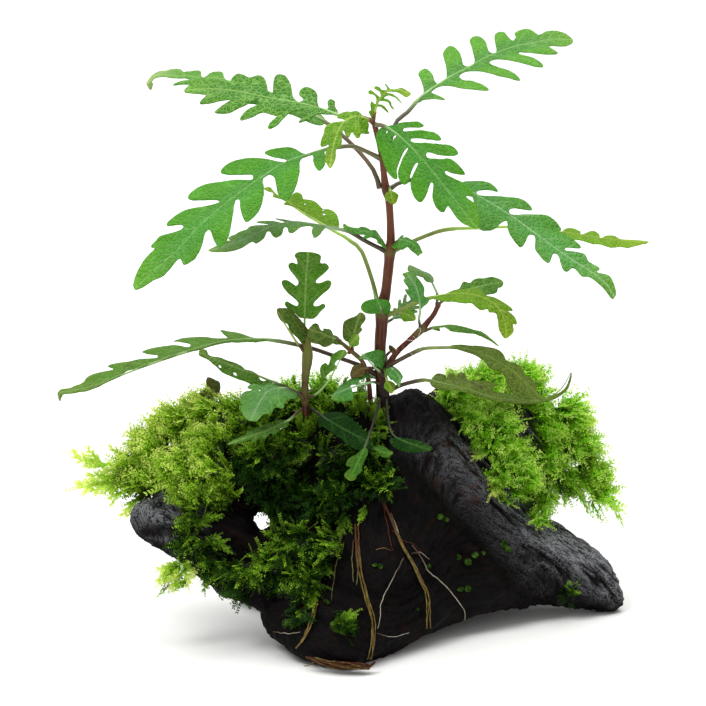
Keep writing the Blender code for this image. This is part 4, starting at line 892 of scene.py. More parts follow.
        (-22.3, 131.6), (-20.7, 130.7), (-19, 129.8), (-18.1, 130.8), (-19.3, 132.7), (-20.8, 134.8),
        (-21.4, 136.7), (-20.2, 137.6), (-18.7, 137.1), (-18.8, 138.5), (-19.5, 139.9), (-17.7, 141),
        (-14.3, 141), (-11.7, 140.4), (-10.6, 139.5), (-10.8, 137.5), (-9, 137.3), (-8.1, 135.7),
        (-9.7, 133.8), (-12, 131.8), (-12.3, 130.8), (-11, 130.6), (-8.7, 131.5), (-7.3, 130.8), (-8, 128.8),
        (-10.3, 126.7), (-13, 123.8), (-12.8, 122.9), (-11.3, 123.2), (-9.8, 123.7), (-9.3, 122.7),
        (-10.7, 121.2), (-13, 118.8)]),
    "leaf_oak_left": dict(
        path=[(-17, 108.6, 25.2), (-18.5, 110.5, 22.4), (-20.5, 113.6, 21), (-22.7, 117, 20),
        (-25.3, 121.2, 19.2)], bare=1, face=(0.1, 0.3, -0.95), reach=5.6, paint="bronze",
        outline=[(-16.3, 110), (-18.7, 112.3), (-21, 114.7), (-21.7, 116.7), (-24, 118), (-25.3, 120),
        (-25.3, 122), (-23.3, 122.3), (-21, 121.7), (-18.7, 120), (-16.7, 117.7), (-15, 114.3),
        (-15, 110.7)]),
    "leaf_shoot_dark": dict(
        path=[(-5.2, 111.5, 26.1), (-6.3, 112, 24.3), (-8.5, 112.9, 22.2), (-11, 114, 20.6),
        (-14.2, 115, 19.6)], bare=1, face=(0, 0.55, -0.83), reach=4.5, grid=0.35, paint="bronze",
        outline=[(-3.3, 110.3), (-4.7, 112.7), (-6.3, 113.5), (-7.7, 115), (-9.7, 115.5), (-9.8, 114.7),
        (-11, 115), (-11.7, 116.7), (-12.7, 117.1), (-14, 116.3), (-15, 115), (-15, 112.3), (-13.7, 110.7),
        (-11, 110.2), (-9.3, 109.3), (-7.7, 109.8), (-6.7, 110.5), (-4.7, 110.2)]),
    "leaf_shoot_upright": dict(
        path=[(-0.2, 109.2, 27.2), (-0.1, 111.2, 26), (0.3, 113.5, 25.2), (1.2, 116.8, 24.4),
        (2.5, 120.7, 23.8)], bare=1, face=(0.1, 0.2, -0.97), reach=4.8, grid=0.35, paint="bronze",
        outline=[(-1, 110.7), (-3, 111.7), (-3.5, 115), (-3, 117.7), (-1.7, 118.5), (1, 119.8), (2.3, 120.8),
        (3.7, 120.2), (4.3, 118.3), (3, 116.7), (2.7, 115.8), (3.3, 115.2), (2, 113.7), (0, 112.2),
        (-0.7, 111)]),
    "leaf_long_low": dict(
        path=[(6.6, 100.8, 33.8), (2, 103.3, 33), (-4.7, 105.7, 32.3), (-11.3, 108.1, 31.8),
        (-17, 109.7, 31), (-28.3, 111.7, 29), (-41.4, 111.5, 26), (-55.4, 107.9, 22), (-66, 104.3, 19),
        (-75.4, 100.8, 16.5), (-85.2, 96.7, 14), (-93.7, 94.6, 12), (-97.6, 93.9, 11), (-97.9, 91, 10.5)],
        bare=5, face=(0.15, 0.93, -0.33), reach=8.5, paint="spotted", outline=[(-29.7, 111.7),
        (-34.3, 112.5), (-39, 114), (-42.3, 115), (-44.3, 117.2), (-43.7, 114.3), (-41.7, 112.3),
        (-46.3, 112.2), (-51, 113), (-57, 113.5), (-60.3, 114.4), (-60.7, 113.7), (-57.7, 111.3),
        (-54.3, 110.2), (-55, 109.3), (-59.3, 110.3), (-64.3, 110.2), (-70.3, 109.8), (-70.7, 109),
        (-68.7, 107.3), (-65.3, 106.7), (-66, 105.7), (-71.7, 105.3), (-75, 104.3), (-81.8, 103.5),
        (-80, 101.8), (-84.3, 101), (-88, 100), (-89.5, 98.5), (-90.3, 97.3), (-93.7, 95.7), (-97, 95.2),
        (-98.5, 93.7), (-97.7, 90.8), (-96.7, 93.5), (-91, 94.1), (-87, 95), (-82.7, 97.3), (-78.3, 99.2),
        (-75, 101.5), (-70.3, 102.5), (-66, 104.3), (-61, 105.7), (-57, 107.5), (-51, 108.3), (-47, 109.8),
        (-42.7, 110.8), (-36, 110.8), (-29.7, 111.2)]),
    "leaf_low_left_a": dict(
        path=[(-17.9, 93.9, 28.6), (-22.3, 95.9, 27), (-26, 97.5, 25), (-31.7, 99.9, 22), (-40, 102.8, 17),
        (-50.3, 107, 12)], bare=2, face=(0.3, 0.6, -0.74), reach=5, holes=((-44.5, 102.8, 0.55),
        (-39.3, 100.4, 0.65)), paint="spotted", outline=[(-20.3, 95), (-23, 96.8), (-26.7, 97), (-28, 98.3),
        (-29.7, 98), (-31, 98.3), (-32, 100.2), (-34, 101.3), (-36, 101.7), (-37.3, 103.2), (-40.3, 104.2),
        (-43.7, 105.5), (-48, 106.5), (-49, 108.2), (-51, 108.3), (-51, 106.3), (-48.3, 105), (-45, 102.3),
        (-40.3, 99.7), (-35.3, 97.8), (-33.7, 97), (-30.3, 95.7), (-26, 95), (-22.7, 94.3)]),
    "leaf_low_left_b": dict(
        path=[(-16.9, 92.4, 27.4), (-19.3, 94.4, 24.6), (-23.4, 95.6, 19.5), (-28.4, 94.4, 15),
        (-31.7, 89.7, 13.2), (-34.2, 84.7, 12.2)], bare=2, face=(-0.1, 0.5, -0.86), reach=7.8,
        holes=((-31.1, 94.9, 0.5), (-26, 89.8, 0.35)), paint="light", outline=[(-22.7, 95.7), (-25.3, 96.2),
        (-27.7, 97.2), (-30.3, 96.3), (-33.7, 97), (-35.2, 95.7), (-33.3, 95), (-36, 94.5), (-37.2, 93),
        (-37.3, 90.3), (-37.2, 88), (-35.7, 85.3), (-33.3, 84.5), (-31.5, 85), (-29.7, 87), (-27.3, 87.3),
        (-25.8, 89.2), (-23.3, 89.2), (-22.2, 91), (-22.8, 92.8), (-21, 91.8), (-19, 92.2), (-18.7, 94.3),
        (-20.7, 95.7)]),
    "leaf_low_dark_left": dict(
        path=[(-17.4, 88.3, 28.4), (-18.6, 87.5, 24), (-21.3, 85, 19.5), (-28, 81.7, 15.5),
        (-35, 79.2, 13.4), (-41.8, 76.8, 12.2)], bare=2, face=(0.1, 0.72, -0.69), reach=2.9, lobes=4,
        slant=(60, 48), cut=0.5, cut_at_tip=0.5, painted_light_and_tone=0.1, paint="deep"),
    "leaf_low_centre": dict(
        path=[(-14.4, 88.6, 28.6), (-13, 88.1, 25), (-9.4, 85.6, 20.5), (-4, 82.4, 17.8), (1, 79.7, 16.6),
        (5.9, 77, 16)], bare=2, face=(0, 0.65, -0.76), reach=5, painted_light_and_tone=0.2, paint="shaded",
        outline=[(-11.3, 86), (-9, 87.7), (-6.7, 88), (-4, 87.7), (-1.3, 86.3), (1.3, 84.3), (3.7, 81.7),
        (5.7, 79), (6.7, 77), (6, 75.3), (3.3, 74.7), (0.7, 75.7), (-2, 77), (-4.3, 79), (-6.7, 80.3),
        (-8.7, 81.7), (-10.3, 83.3), (-11.7, 84.7)]),
    "leaf_low_bright": dict(
        path=[(9, 92, 33.6), (8, 88, 27), (6, 81.5, 18.5), (4, 76, 12.5), (1.6, 70.8, 10.2), (-1.2, 65, 9)],
        bare=3, face=(-0.2, 0.25, -0.95), reach=4.2, paint="dim", outline=[(3.7, 75.7), (5, 75), (5, 73.3),
        (3.8, 71.7), (3.3, 69.7), (2.7, 67.7), (1.5, 66.7), (0.7, 65), (-1, 64.7), (-2.7, 66), (-2.3, 67.5),
        (-0.8, 69), (-2.2, 69.7), (-2, 71.3), (-0.7, 72.7), (1.3, 73.7)]),
    "leaf_low_right": dict(
        path=[(11, 91.3, 33.6), (11.6, 86, 27.5), (13, 80.5, 22.5), (17.5, 77.7, 20.7), (22, 76.1, 20.2),
        (26, 74.8, 20)], bare=2, face=(0, 0.6, -0.8), reach=3.8, paint="shaded", outline=[(12.3, 78.5),
        (15.7, 79.2), (19.8, 78.7), (23.2, 77.5), (26.5, 75.7), (26, 75), (22.3, 74.3), (17.3, 74.7),
        (13.2, 76.2)]),
    "leaf_small_fern": dict(
        path=[(-14.2, 92.8, 28), (-12.3, 93.6, 25.4), (-9, 97, 23.6), (-5.9, 102, 22.4),
        (-2.9, 108.2, 21.4)], bare=1, face=(0, 0.3, -0.95), reach=3.4, grid=0.3, paint="deep",
        outline=[(-11.7, 94.3), (-11.3, 97), (-10.3, 98.7), (-11, 101), (-10.7, 103), (-9.3, 104),
        (-8.3, 103.3), (-7.7, 105), (-7.3, 106.5), (-5.7, 107.7), (-4, 108.5), (-2.7, 108.3), (-2, 107.3),
        (-3, 106), (-4.7, 105.2), (-6.3, 103.7), (-5.3, 102.4), (-7.3, 101), (-9.3, 99), (-10, 97.3),
        (-8.7, 97.7), (-10.7, 95.7)]),
    "leaf_young_top": dict(
        path=[(7, 184.7, 14.4), (7.4, 188, 13.6), (8, 190.2, 13), (9.4, 192.7, 12), (12, 194.8, 11),
        (15.4, 195, 10), (19, 193.7, 9)], bare=1, face=(0.1, 0.2, -0.97), reach=5.4, grid=0.25,
        paint="young", outline=[(6.3, 185.7), (5.3, 187.7), (6, 188.3), (5.7, 190.3), (6.2, 191.5),
        (7.3, 190.3), (7.7, 192), (7, 193.3), (6.2, 193.2), (5, 193.5), (5, 194.5), (6.2, 195), (7.3, 194),
        (8.7, 192.7), (9.3, 192.8), (9.2, 194.3), (8, 194.8), (7, 195.5), (7.7, 196.3), (9, 196), (9.5, 195),
        (11, 195), (11.2, 195.7), (10.2, 197.3), (10.7, 197.2), (12.2, 195.6), (14.3, 195.2), (16.3, 195.5),
        (18.3, 194.7), (19.3, 193.7), (17.8, 192.5), (16.3, 193.3), (14.3, 194.2), (12.7, 194.4),
        (11.3, 194), (13.7, 193.3), (15, 192.3), (16.5, 190.3), (15.8, 190.8), (14, 192.5), (11.7, 193.1),
        (10, 192.2), (11.3, 191.9), (12.7, 190.8), (13.6, 188.5), (12.8, 189), (11.8, 190.6), (10, 191.3),
        (8.8, 191.2), (8.3, 190.2), (9.7, 190), (11, 188.8), (11.8, 187.3), (11, 187.9), (9.3, 189.3),
        (7.8, 189.2), (7, 187.7), (8, 187.7), (7.5, 186.8), (6.8, 185.7)]),
    "leaf_young_left": dict(
        path=[(6.3, 183.9, 12.5), (4.7, 185.3, 10), (0.8, 186.3, 8), (-3.8, 183.4, 5.4), (-6.4, 176.8, 3),
        (-7.7, 169.3, 1)], bare=1, face=(-0.2, 0.35, -0.9), reach=5.6, grid=0.35, paint="young",
        outline=[(5.3, 181.3), (5.2, 183.7), (4.3, 185.3), (3.2, 186.2), (2.3, 187.3), (0.7, 188),
        (-0.7, 187.5), (-2.3, 187.5), (-4, 187), (-5.2, 185.7), (-3, 185.1), (-3, 184.6), (-5, 184.2),
        (-7.7, 183.6), (-9.3, 182.3), (-9.7, 180.3), (-10.7, 177.7), (-10.7, 176.2), (-9.3, 176.3),
        (-8.2, 176.7), (-8.7, 175), (-9.3, 172.7), (-8.8, 170.7), (-7.7, 168.8), (-6.5, 170), (-5.7, 172.7),
        (-5.5, 175), (-4.3, 175.8), (-3.8, 177.3), (-3.5, 181.3), (-3, 181.3), (-2.2, 179.7), (-1.3, 179.3),
        (-0.7, 180.7), (-0.3, 181.2), (0.3, 180.3), (1.7, 179.4), (2.7, 180.5), (2.8, 181.3), (3.7, 180.8),
        (4.8, 180.4)]),
    "leaf_node_left": dict(
        path=[(10.6, 142.9, 22.6), (8.9, 145.6, 19.8), (5.5, 147.6, 17.4), (2, 148.1, 15.8),
        (-2.6, 150, 14.6)], bare=1, face=(0.1, 0.8, -0.6), reach=2.6, paint="fresh", outline=[(10.7, 142.3),
        (10.5, 145), (10.3, 146.3), (9.8, 146.2), (9.7, 145.3), (9.2, 146.3), (9, 147.7), (7.7, 148.5),
        (6, 148.5), (4.7, 149.3), (2.7, 149.5), (1.7, 149), (-1.3, 149.2), (-2.7, 150.3), (-3.2, 150),
        (-2.7, 148.7), (-1, 148), (0.7, 147), (4, 146.8), (3.2, 145.8), (5, 145.7), (6.7, 145.8), (8, 145.3),
        (8.5, 144.3), (9.5, 143.7), (10.2, 142.3)]),
    "leaf_node_right": dict(
        path=[(13.6, 143.3, 22.2), (15.6, 144.9, 20), (18.3, 144.5, 18.6), (20.5, 143, 17.8),
        (22, 140.6, 17.4)], bare=1, face=(0.1, 0.75, -0.66), reach=3, paint="fresh", outline=[(12.7, 143.3),
        (13.7, 145), (14.7, 146), (15.3, 146.8), (16.7, 146.7), (16.3, 145.7), (18.3, 145.8), (20, 145),
        (21.7, 143.7), (22.7, 142), (23.2, 140.7), (22.3, 140.2), (21.8, 139.5), (20.7, 140.5),
        (19.3, 141.7), (18.2, 142.8), (16.7, 142.2), (15.3, 142.7), (14, 142.7), (13, 142.3)]),
    "leaf_node_round": dict(
        path=[(9.7, 120.6, 26.4), (9.2, 122.3, 23.8), (8.3, 124.5, 22.2), (7.3, 126.8, 21.2),
        (6.2, 129.6, 20.6)], bare=1, face=(-0.05, 0.25, -0.97), reach=5.4, paint="fresh",
        outline=[(11.7, 124.7), (9, 125.3), (5.7, 125.2), (3.3, 124), (2.7, 122.3), (3.7, 121), (6, 120.1),
        (8.3, 120.3), (10.3, 119.9), (12.3, 120.3), (12.7, 122.3)]),
}
# Small leaves that have no solid of their own
SMALL_LEAVES = {
    "leaf_yellow_stub": dict(
        path=[(-1.2, 108.2, 27.4), (-0.9, 109.6, 26.2), (0.2, 111.4, 25.2), (1.9, 113.4, 24.6)], bare=1,
        face=(0, 0.3, -0.95), reach=2.2, oval=True, paint="young"),
    "leaf_on_wood": dict(
        path=[(2.6, 77.6, 22), (4.4, 76.4, 18), (7.5, 75.2, 16), (10.5, 74, 15.4), (13.4, 73.6, 15)], bare=1,
        face=(0, 0.6, -0.8), reach=2.6, paint="dim", outline=[(5.3, 76.7), (7.7, 76.2), (9.3, 76.3),
        (11, 75.8), (12, 74.8), (13.3, 74), (12.3, 73), (11, 72.5), (9.3, 73), (8.2, 74.3), (7, 75.2)]),
    "leaf_brown_upper": dict(
        path=[(-43, 91.5, 37), (-44.6, 93.6, 37), (-46.4, 96, 37.5), (-48.6, 99.2, 38)], bare=1,
        face=(-0.5, 0.3, -0.8), reach=2.6, oval=True, paint="brown"),
    "leaf_brown_lower": dict(
        path=[(-43, 91.2, 36), (-45, 92.8, 35), (-47.6, 93.7, 34.5), (-51.2, 94, 34)], bare=1,
        face=(0, 0.6, -0.8), reach=2.2, oval=True, paint="brown"),
    "leaf_node_low": dict(
        path=[(12.2, 162.2, 17.8), (12.4, 161.4, 15.6), (12.9, 159.4, 14.6), (13.8, 156.8, 14)], bare=1,
        face=(0.2, 0.3, -0.93), reach=2.4, oval=True, paint="sunlit"),
    "leaf_round_lime": dict(
        path=[(14.6, 120.8, 33), (15.6, 120.8, 32), (18, 120, 31), (20.9, 118.4, 30.4)], bare=1,
        face=(0.1, 0.2, -0.97), reach=2.5, oval=True, paint="young"),
    "leaf_foot_lime": dict(
        path=[(10.7, 101, 31), (11.3, 98.3, 29), (12.3, 96, 28), (13, 93.7, 27.5)], bare=1,
        face=(0.2, 0.3, -0.93), reach=2, oval=True, paint="sunlit"),
    "leaf_foot_brown": dict(
        path=[(7.3, 102.3, 31.5), (4.3, 102.3, 30), (1.7, 101.3, 29), (-0.7, 99, 28.5)], bare=1,
        face=(0, 0.5, -0.86), reach=2.6, oval=True, paint="rusty"),
    "leaf_rear_brown": dict(
        path=[(11, 106.3, 34.5), (12.3, 107.7, 35), (14, 108.8, 35.5)], bare=1, face=(0, 0.2, -0.98),
        reach=2, oval=True, paint="rusty"),
    "leaf_behind_stem": dict(
        path=[(11, 117.4, 33), (13.4, 118.8, 34.5), (16.4, 121.2, 36), (19, 123.6, 37), (21.6, 125.6, 38)],
        bare=1, face=(-0.2, 0.5, -0.84), reach=4.2, lobes=3, cut=0.5, paint="greyish"),
}

# Leaf colours: the blade's edge, along its midrib, its tip and veins, then the stalk and the midrib itself
# The shaded and dim rows are darker copies, painted shade for leaves low in the shade; the sunlit row is a
# lighter copy, painted light
LEAF_COLOURS = {
    "fresh": ("509e18", "4e9a34", "6cac14", "80b85c", "6e6a4a", "78a860"),
    "pale": ("60a826", "52963c", "80b838", "9ccc74", "5e5648", "9cc47c"),
    "netted": ("448a16", "428628", "66a024", "a0cc68", "6a5840", "9cc878"),
    "faded": ("4c9418", "509830", "d0d4a0", "a0cc68", "6a5840", "9cc878"),
    "bluish": ("4e9824", "549e40", "78ac1c", "a0cc8c", "4c4a38", "9cc48c"),
    "greyish": ("72a83c", "7eac64", "9cc04c", "a8c890", "4e4438", "9cb88c"),
    "sunlit": ("7cb412", "80ac22", "a0bc1c", "c0dc58", "7a8a3c", "a8cc5c"),
    "deep": ("4e8c12", "548c1e", "589216", "a4cc6c", "5a4a30", "98c46c"),
    "olive": ("586c0c", "648414", "5c7a10", "a0b050", "4a3a28", "84984c"),
    "spotted": ("548816", "56861e", "749226", "94b068", "4a3c2c", "8cb068"),
    "shaded": ("1a4010", "143610", "1c4412", "446c30", "1c1812", "263e1c"),
    "dim": ("5c7424", "38681c", "647c14", "5c8830", "201a12", "425c2c"),
    "bronze": ("5a5c1c", "4c7422", "5a7420", "a4b45c", "5c3c20", "a0b058"),
    "light": ("64a83c", "6cac58", "78b440", "a4cc90", "5a4a38", "a0c88c"),
    "young": ("88c020", "7cb432", "acd02c", "cce870", "8a4a2c", "b4d060"),
    "rusty": ("80602c", "70602c", "804e24", "9a8450", "5a3020", "8a7040"),
    "brown": ("5e5a28", "54642c", "6e5230", "8e7c4c", "5a3020", "7a6a40"),
}
# What else sets a blade's finish apart: its net, blotches, the light through it, its gloss
LEAF_FINISH = {
    "netted": dict(net=0.5),
    "faded": dict(net=0.45),
    "sunlit": dict(through=0.42),
    "olive": dict(net=0.35, blotches=0.9),
    "spotted": dict(blotches=0.5),
    "shaded": dict(net=0.1, through=0.03, gloss=0.03),
    "dim": dict(net=0.1, through=0.12, gloss=0.08),
    "bronze": dict(blotches=0.6),
    "young": dict(through=0.45),
    "rusty": dict(blotches=0.5),
    "brown": dict(blotches=0.4),
}


def make_leaves():
    """All leaves; those with a solid of their own replace it."""
    paints = {}
    for kind, colours in LEAF_COLOURS.items():
        paints[kind] = leaf_paint("leaf_" + kind, *colours[:4], **LEAF_FINISH.get(kind, {}))
        paints[kind + "_stalk"] = stalk_paint("stalk_" + kind, *colours[4:])
    for seed, (name, leaf) in enumerate({**LEAVES, **SMALL_LEAVES}.items()):
        style = dict(leaf)
        if style.pop("oval", False):
            style = {**OVAL, **style}
        if path_length(leaf["path"]) < SHORT_PATH:
            style = {**FINE, **style}
        make_leaf(name, seed, paints, [name] if name in LEAVES else [], **style)


# Stems: points (right, up, away, radius); the thick rings are the nodes
STEMS = {
    "stem_main": [(11, 80, 42, 2.6), (10.3, 90, 37.5, 2.4), (9.4, 99, 34.5, 2.1), (9, 108.3, 32, 2.05),
        (9.5, 116, 30.2, 2.05), (9.7, 120, 29.5, 2.5), (10.2, 124.5, 28.6, 1.95), (11, 128.3, 27.5, 1.75),
        (12, 137.5, 25.2, 1.7), (12.3, 141, 24.5, 2.2), (12.6, 145, 23.5, 1.4), (12.4, 152, 21.6, 1.3),
        (11.9, 158.5, 19.9, 1.25), (11, 161.7, 19, 1.6), (10.3, 167, 17.6, 1.05), (10, 171.7, 16.5, 1.35),
        (8.6, 177.5, 15.2, 0.85), (7.3, 183, 13.8, 1)],
    "stem_side": [(11.3, 102.6, 33, 1.1), (14.5, 107.4, 30.8, 1), (18.5, 111.2, 28.2, 0.95),
        (22.7, 115, 26, 1.35), (25.2, 118, 25.4, 0.9), (27, 120.3, 25, 0.85), (28.6, 123.6, 24.4, 0.9)],
    "stem_second": [(-14.8, 76, 39, 1.3), (-15.5, 83, 33, 1.2), (-15.8, 88.3, 30.3, 1.2),
        (-16.1, 93, 29.3, 1.35), (-16, 98, 28.3, 1.2), (-15.6, 102, 27.5, 1.6), (-15.2, 106, 26.7, 2),
        (-15.2, 111, 25.8, 1.2), (-15.5, 113, 25.2, 0.8)],
    "stem_third": [(6, 84, 40, 0.9), (5.8, 92, 35.5, 0.85), (5, 99, 32, 0.8), (3.2, 104.3, 29.6, 0.75),
        (-0.3, 107.7, 28, 0.8), (-4, 110.8, 27, 0.65), (-5, 111.4, 26.2, 0.5)],
}


def stem_paint(name, low, high, from_up, to_up, dark_up=84):
    """Stem skin: nearly black at the foot, greener towards the top, ringed at the nodes, finely streaked."""
    p = Paints(name)
    streak = p.noise(900, 3, p.place((1, 1, 0.12)))
    height = p.attribute("height")
    base = p.tint(paint(low), high, height, from_up, to_up)
    base = p.tint(base, "8a5430", streak, 0.35, 0.7, 0, 0.4)
    base = p.tint(base, "2c1210", p.noise(160, 4), 0.5, 0.75, 0, 0.5)
    base = p.tint(base, "6a6a3a", p.attribute("knot"), 0.2, 0.9, 0, 0.6)
    base = p.tint(base, "120e0a", height, dark_up, dark_up + 5, 0.88, 0)
    normal = p.bump(streak, 0.00018, 0.5)
    p.set(Base_Color=base, Roughness=0.42, Specular_IOR_Level=0.2, Normal=normal)
    return p.material


def make_stems():
    """Round stems with thicker rings at the nodes."""
    paints = {
        "stem_main": stem_paint("stem_red", "3c160e", "6c3c2c", 108, 150, dark_up=96),
        "stem_side": stem_paint("stem_side_red", "4a201c", "6a3a2c", 112, 124),
        "stem_second": stem_paint("stem_second_green", "4e2410", "7c8c2c", 96, 108),
        "stem_third": stem_paint("stem_third_brown", "4a2418", "5a5030", 104, 112),
    }
    for name, points in STEMS.items():
        reached = np.linspace(0, 1, 10 * len(points))
        places, _ = follow([point[:3] for point in points], reached)
        along = run_along(np.array([seen(*point[:3]) for point in points]))
        radii = np.interp(reached, along / along[-1], [point[3] for point in points])
        heights = np.interp(reached, along / along[-1], [point[1] for point in points])
        plain = np.interp(reached, [0, 1], [points[0][3], points[-1][3]])
        radii *= 1 + 0.03 * np.sin(reached * 60)
        stem = tube_along(name, places, radii, sides=20)
        nearest = nearest_step(stem, places)
        swollen = np.clip((radii - plain) / (0.35 * plain), 0, 1)
        store(stem, "height", heights[nearest])
        store(stem, "knot", swollen[nearest])
        smooth(stem)
        stem.data.materials.append(paints[name])
        finish_piece(stem, [name])


# Driftwood: each stretch is the hull of balls given as (right, up, away, radius)
BODY_BALLS = [
    (21.3, 91, 42, 4.8), (33, 78.3, 50, 6), (48.3, 57.3, 56, 6), (-6, 78.3, 44, 9), (-22.7, 38.3, 30, 10),
    (9, 38.3, 22, 12), (-23.3, 17.7, 20, 7), (-2.7, 8.3, 8, 7.5), (-15, 11, 12, 6), (14, 17.7, 22, 8),
    (29, 25, 34, 8.5), (6, 58.3, 72, 12), (15, 36, 68, 10),
]
WOOD_STRETCHES = [
    BODY_BALLS,
    [(48.3, 57.3, 56, 6), (29, 25, 34, 8.5), (42.3, 28.3, 42, 7), (65, 43, 60, 8), (62.3, 33.3, 52, 9.5)],
    [(65.7, 45, 64, 7.5), (62.3, 33.3, 54, 9.5), (79, 34, 60, 7.5), (85, 25.2, 58, 5.3)],
    [(-22.7, 38.3, 30, 10), (-39.3, 31.7, 27, 7), (-24, 28, 24, 8)],
    [(-39.3, 31.7, 27, 7), (-51, 41.7, 26, 7.5)],
    [(-51, 41.7, 26, 7.5), (-64.3, 48.3, 26, 6.5), (-67.7, 51.7, 25, 6.8), (-61.7, 53.3, 27, 6)],
    [(-51, 41.7, 26, 7.5), (-44.5, 52, 31, 8), (-60, 56, 29, 7), (-47, 66, 35, 8)],
    [(-6, 78.3, 44, 9), (-8, 62, 42, 10), (-34.3, 70, 38, 9), (-33, 60.5, 36, 6)],
    [(-39.3, 31.7, 27, 7), (-38.4, 50.5, 30, 6.2), (-44.5, 52, 31, 8)],
    [(-31, 40.8, 27, 6), (-38.8, 46, 29, 5), (-24, 36, 28, 8)],
    [(-34.3, 70, 38, 9), (-48, 70, 36, 8), (-60, 71, 34, 6.5)],
    [(33, 78.3, 52, 6), (48.3, 57.3, 60, 8), (39, 84, 74, 17), (55.7, 77.5, 74, 18), (49, 72, 76, 18)],
    [(49, 66, 76, 14), (45.6, 36.4, 84, 9), (20, 45, 72, 10)],
    [(15, 36, 66, 9), (-31.6, 27.3, 66, 6.5), (-5, 36, 58, 9)],
]
# How the grain runs in each region: from, to (right, up, away)
GRAIN = [
    ((-68, 52, 25), (-24, 30, 26)),
    ((-71, 57, 22), (-66, 40, 20)),
    ((-34, 14, 16), (44, 24, 38)),
    ((20, 90, 42), (12, 40, 20)),
    ((22, 88, 44), (90, 27, 60)),
    ((50, 95, 70), (46, 34, 86)),
    ((-6, 78, 44), (-60, 71, 34)),
    ((10, 60, 74), (-32, 27, 68)),
]
# Hollows and knots in the front: right, up, width, depth
HOLLOWS = [
    (52.3, 32.5, 4.5, 2.6), (58.5, 37.5, 3, 1.6), (44.5, 44.5, 4.2, 2), (30.5, 52.5, 5, 1.6),
    (27.3, 20, 1.9, 1.2), (8.5, 50, 6, 1.8), (36, 61, 3.4, 1.2), (62, 29.5, 3, 1.4), (-13, 33, 4, 1.6),
    (69, 24.6, 2.6, 2.2), (-58.5, 48.5, 2.2, 1.4), (-5, 22.5, 5, 1),
]
# Crests (rise above 0) and troughs on the front: width, rise and line (right, up), in mm
CRESTS = [
    (5.5, 1.6, [(26, 84), (34, 72), (47, 57), (58, 45), (68, 38), (80, 31)]),
    (8.0, -2.6, [(22, 76), (30, 62), (42, 49), (54, 37), (62, 30)]),
    (5.0, -1.8, [(12, 56), (22, 46), (34, 42), (44, 34)]),
    (4.0, 1.3, [(14, 74), (19, 60), (30, 50), (40, 41), (50, 27)]),
    (4.0, 1.0, [(-20, 26), (-8, 20), (8, 18), (24, 24)]),
    (4.5, -1.4, [(-14, 32), (0, 27), (14, 28), (26, 33)]),
    (3.0, 1.0, [(62, 36), (72, 29), (84, 25)]),
    (3.0, -1.5, [(60, 34), (68, 26), (74, 22)]),
    (3.0, -1.3, [(-68, 47), (-58, 47), (-48, 41), (-38, 33)]),
    (2.5, 1.0, [(-66, 51), (-56, 49), (-44, 42)]),
    (3.5, -1.6, [(-40, 44), (-32, 36), (-26, 27)]),
]
# The part of a length along the grain that grain coordinates keep, so that noise runs long there
GRAIN_STRETCH = 0.22
# The cells of the first and the last skin in mm
WOOD_VOXEL = 2.0
SKIN_VOXEL = 0.95
# The pale round knob, the crumbling peak and the rust-red patch (right, up, away), each with its size
KNOB = (62, 84, 74), 24
PEAK = (21, 86, 40), 13
RUST_PATCH = (32, 70, 45), 16


def hull_of_balls(balls):
    """One convex solid around balls given as (right, up, away, radius)."""
    bm = bmesh.new()
    for right, up, away, radius in balls:
        place = Matrix.Translation(seen(right, up, away))
        grown = 1 + away / VIEW_DISTANCE
        bmesh.ops.create_icosphere(bm, subdivisions=2, radius=radius * grown * MM, matrix=place)
    bmesh.ops.delete(bm, geom=bm.faces[:], context="FACES_ONLY")
    bmesh.ops.delete(bm, geom=bm.edges[:], context="EDGES_FACES")
    bmesh.ops.convex_hull(bm, input=bm.verts)
    bmesh.ops.delete(bm, geom=[vert for vert in bm.verts if not vert.link_faces], context="VERTS")
    bmesh.ops.recalc_face_normals(bm, faces=bm.faces)
    return bm


def run_together(name, groups, voxel, rounds):
    """The hulls of several groups of balls as one closed skin."""
    joined = bmesh.new()
    for balls in groups:
        part = hull_of_balls(balls)
        mesh = bpy.data.meshes.new("hull")
        part.to_mesh(mesh)
        part.free()
        joined.from_mesh(mesh)
        bpy.data.meshes.remove(mesh)
    obj = put_mesh(name, joined)
    reskin(obj, voxel, rounds)
    return obj


def reskin(obj, voxel, rounds):
    """One closed skin round all that the object is made of, softened in some rounds."""
    remesh = obj.modifiers.new("skin", "REMESH")
    remesh.mode = "VOXEL"
    remesh.voxel_size = voxel * MM
    soften = obj.modifiers.new("soften", "SMOOTH")
    soften.factor = 0.5
    soften.iterations = rounds
    apply_modifiers(obj)


def normals_of(obj):
    normals = np.empty(len(obj.data.vertices) * 3)
    obj.data.vertices.foreach_get("normal", normals)
    return normals.reshape(-1, 3)


def waves(places, size, seed):
    """Smooth noise between -1 and 1 at each place."""
    offset = Vector((seed, 3.7 * seed, 1.3 * seed))
    return np.array([noise.noise(Vector(place) + offset) for place in places / (size * MM)])


def ridges(places, size, seed):
    """Noise with sharp crests: 1 on a crest, falling to 0."""
    return 1 - np.minimum(1, 2.2 * np.abs(waves(places, size, seed)))


def nearness(places, middle, size):
    """1 in the middle, given as (right, up, away), and softly down to 0 around it."""
    return np.exp(-(((places - np.array(seen(*middle))) / (size * MM)) ** 2).sum(1))


def grain_of(places):
    """Each place in grain coordinates: drawn together along the grain of its region."""
    total = np.zeros_like(places)
    weights = np.zeros(len(places))
    for start, end in GRAIN:
        start, end = np.array(seen(*start)), np.array(seen(*end))
        way = (end - start) / np.linalg.norm(end - start)
        share = np.clip((places - start) @ way, 0, np.linalg.norm(end - start))
        apart = np.linalg.norm(places - start - share[:, None] * way, axis=1)
        weight = 1 / (apart / MM + 3) ** 4
        drawn = places - (1 - GRAIN_STRETCH) * ((places - start) @ way)[:, None] * way
        total += weight[:, None] * drawn
        weights += weight
    return total / weights[:, None]


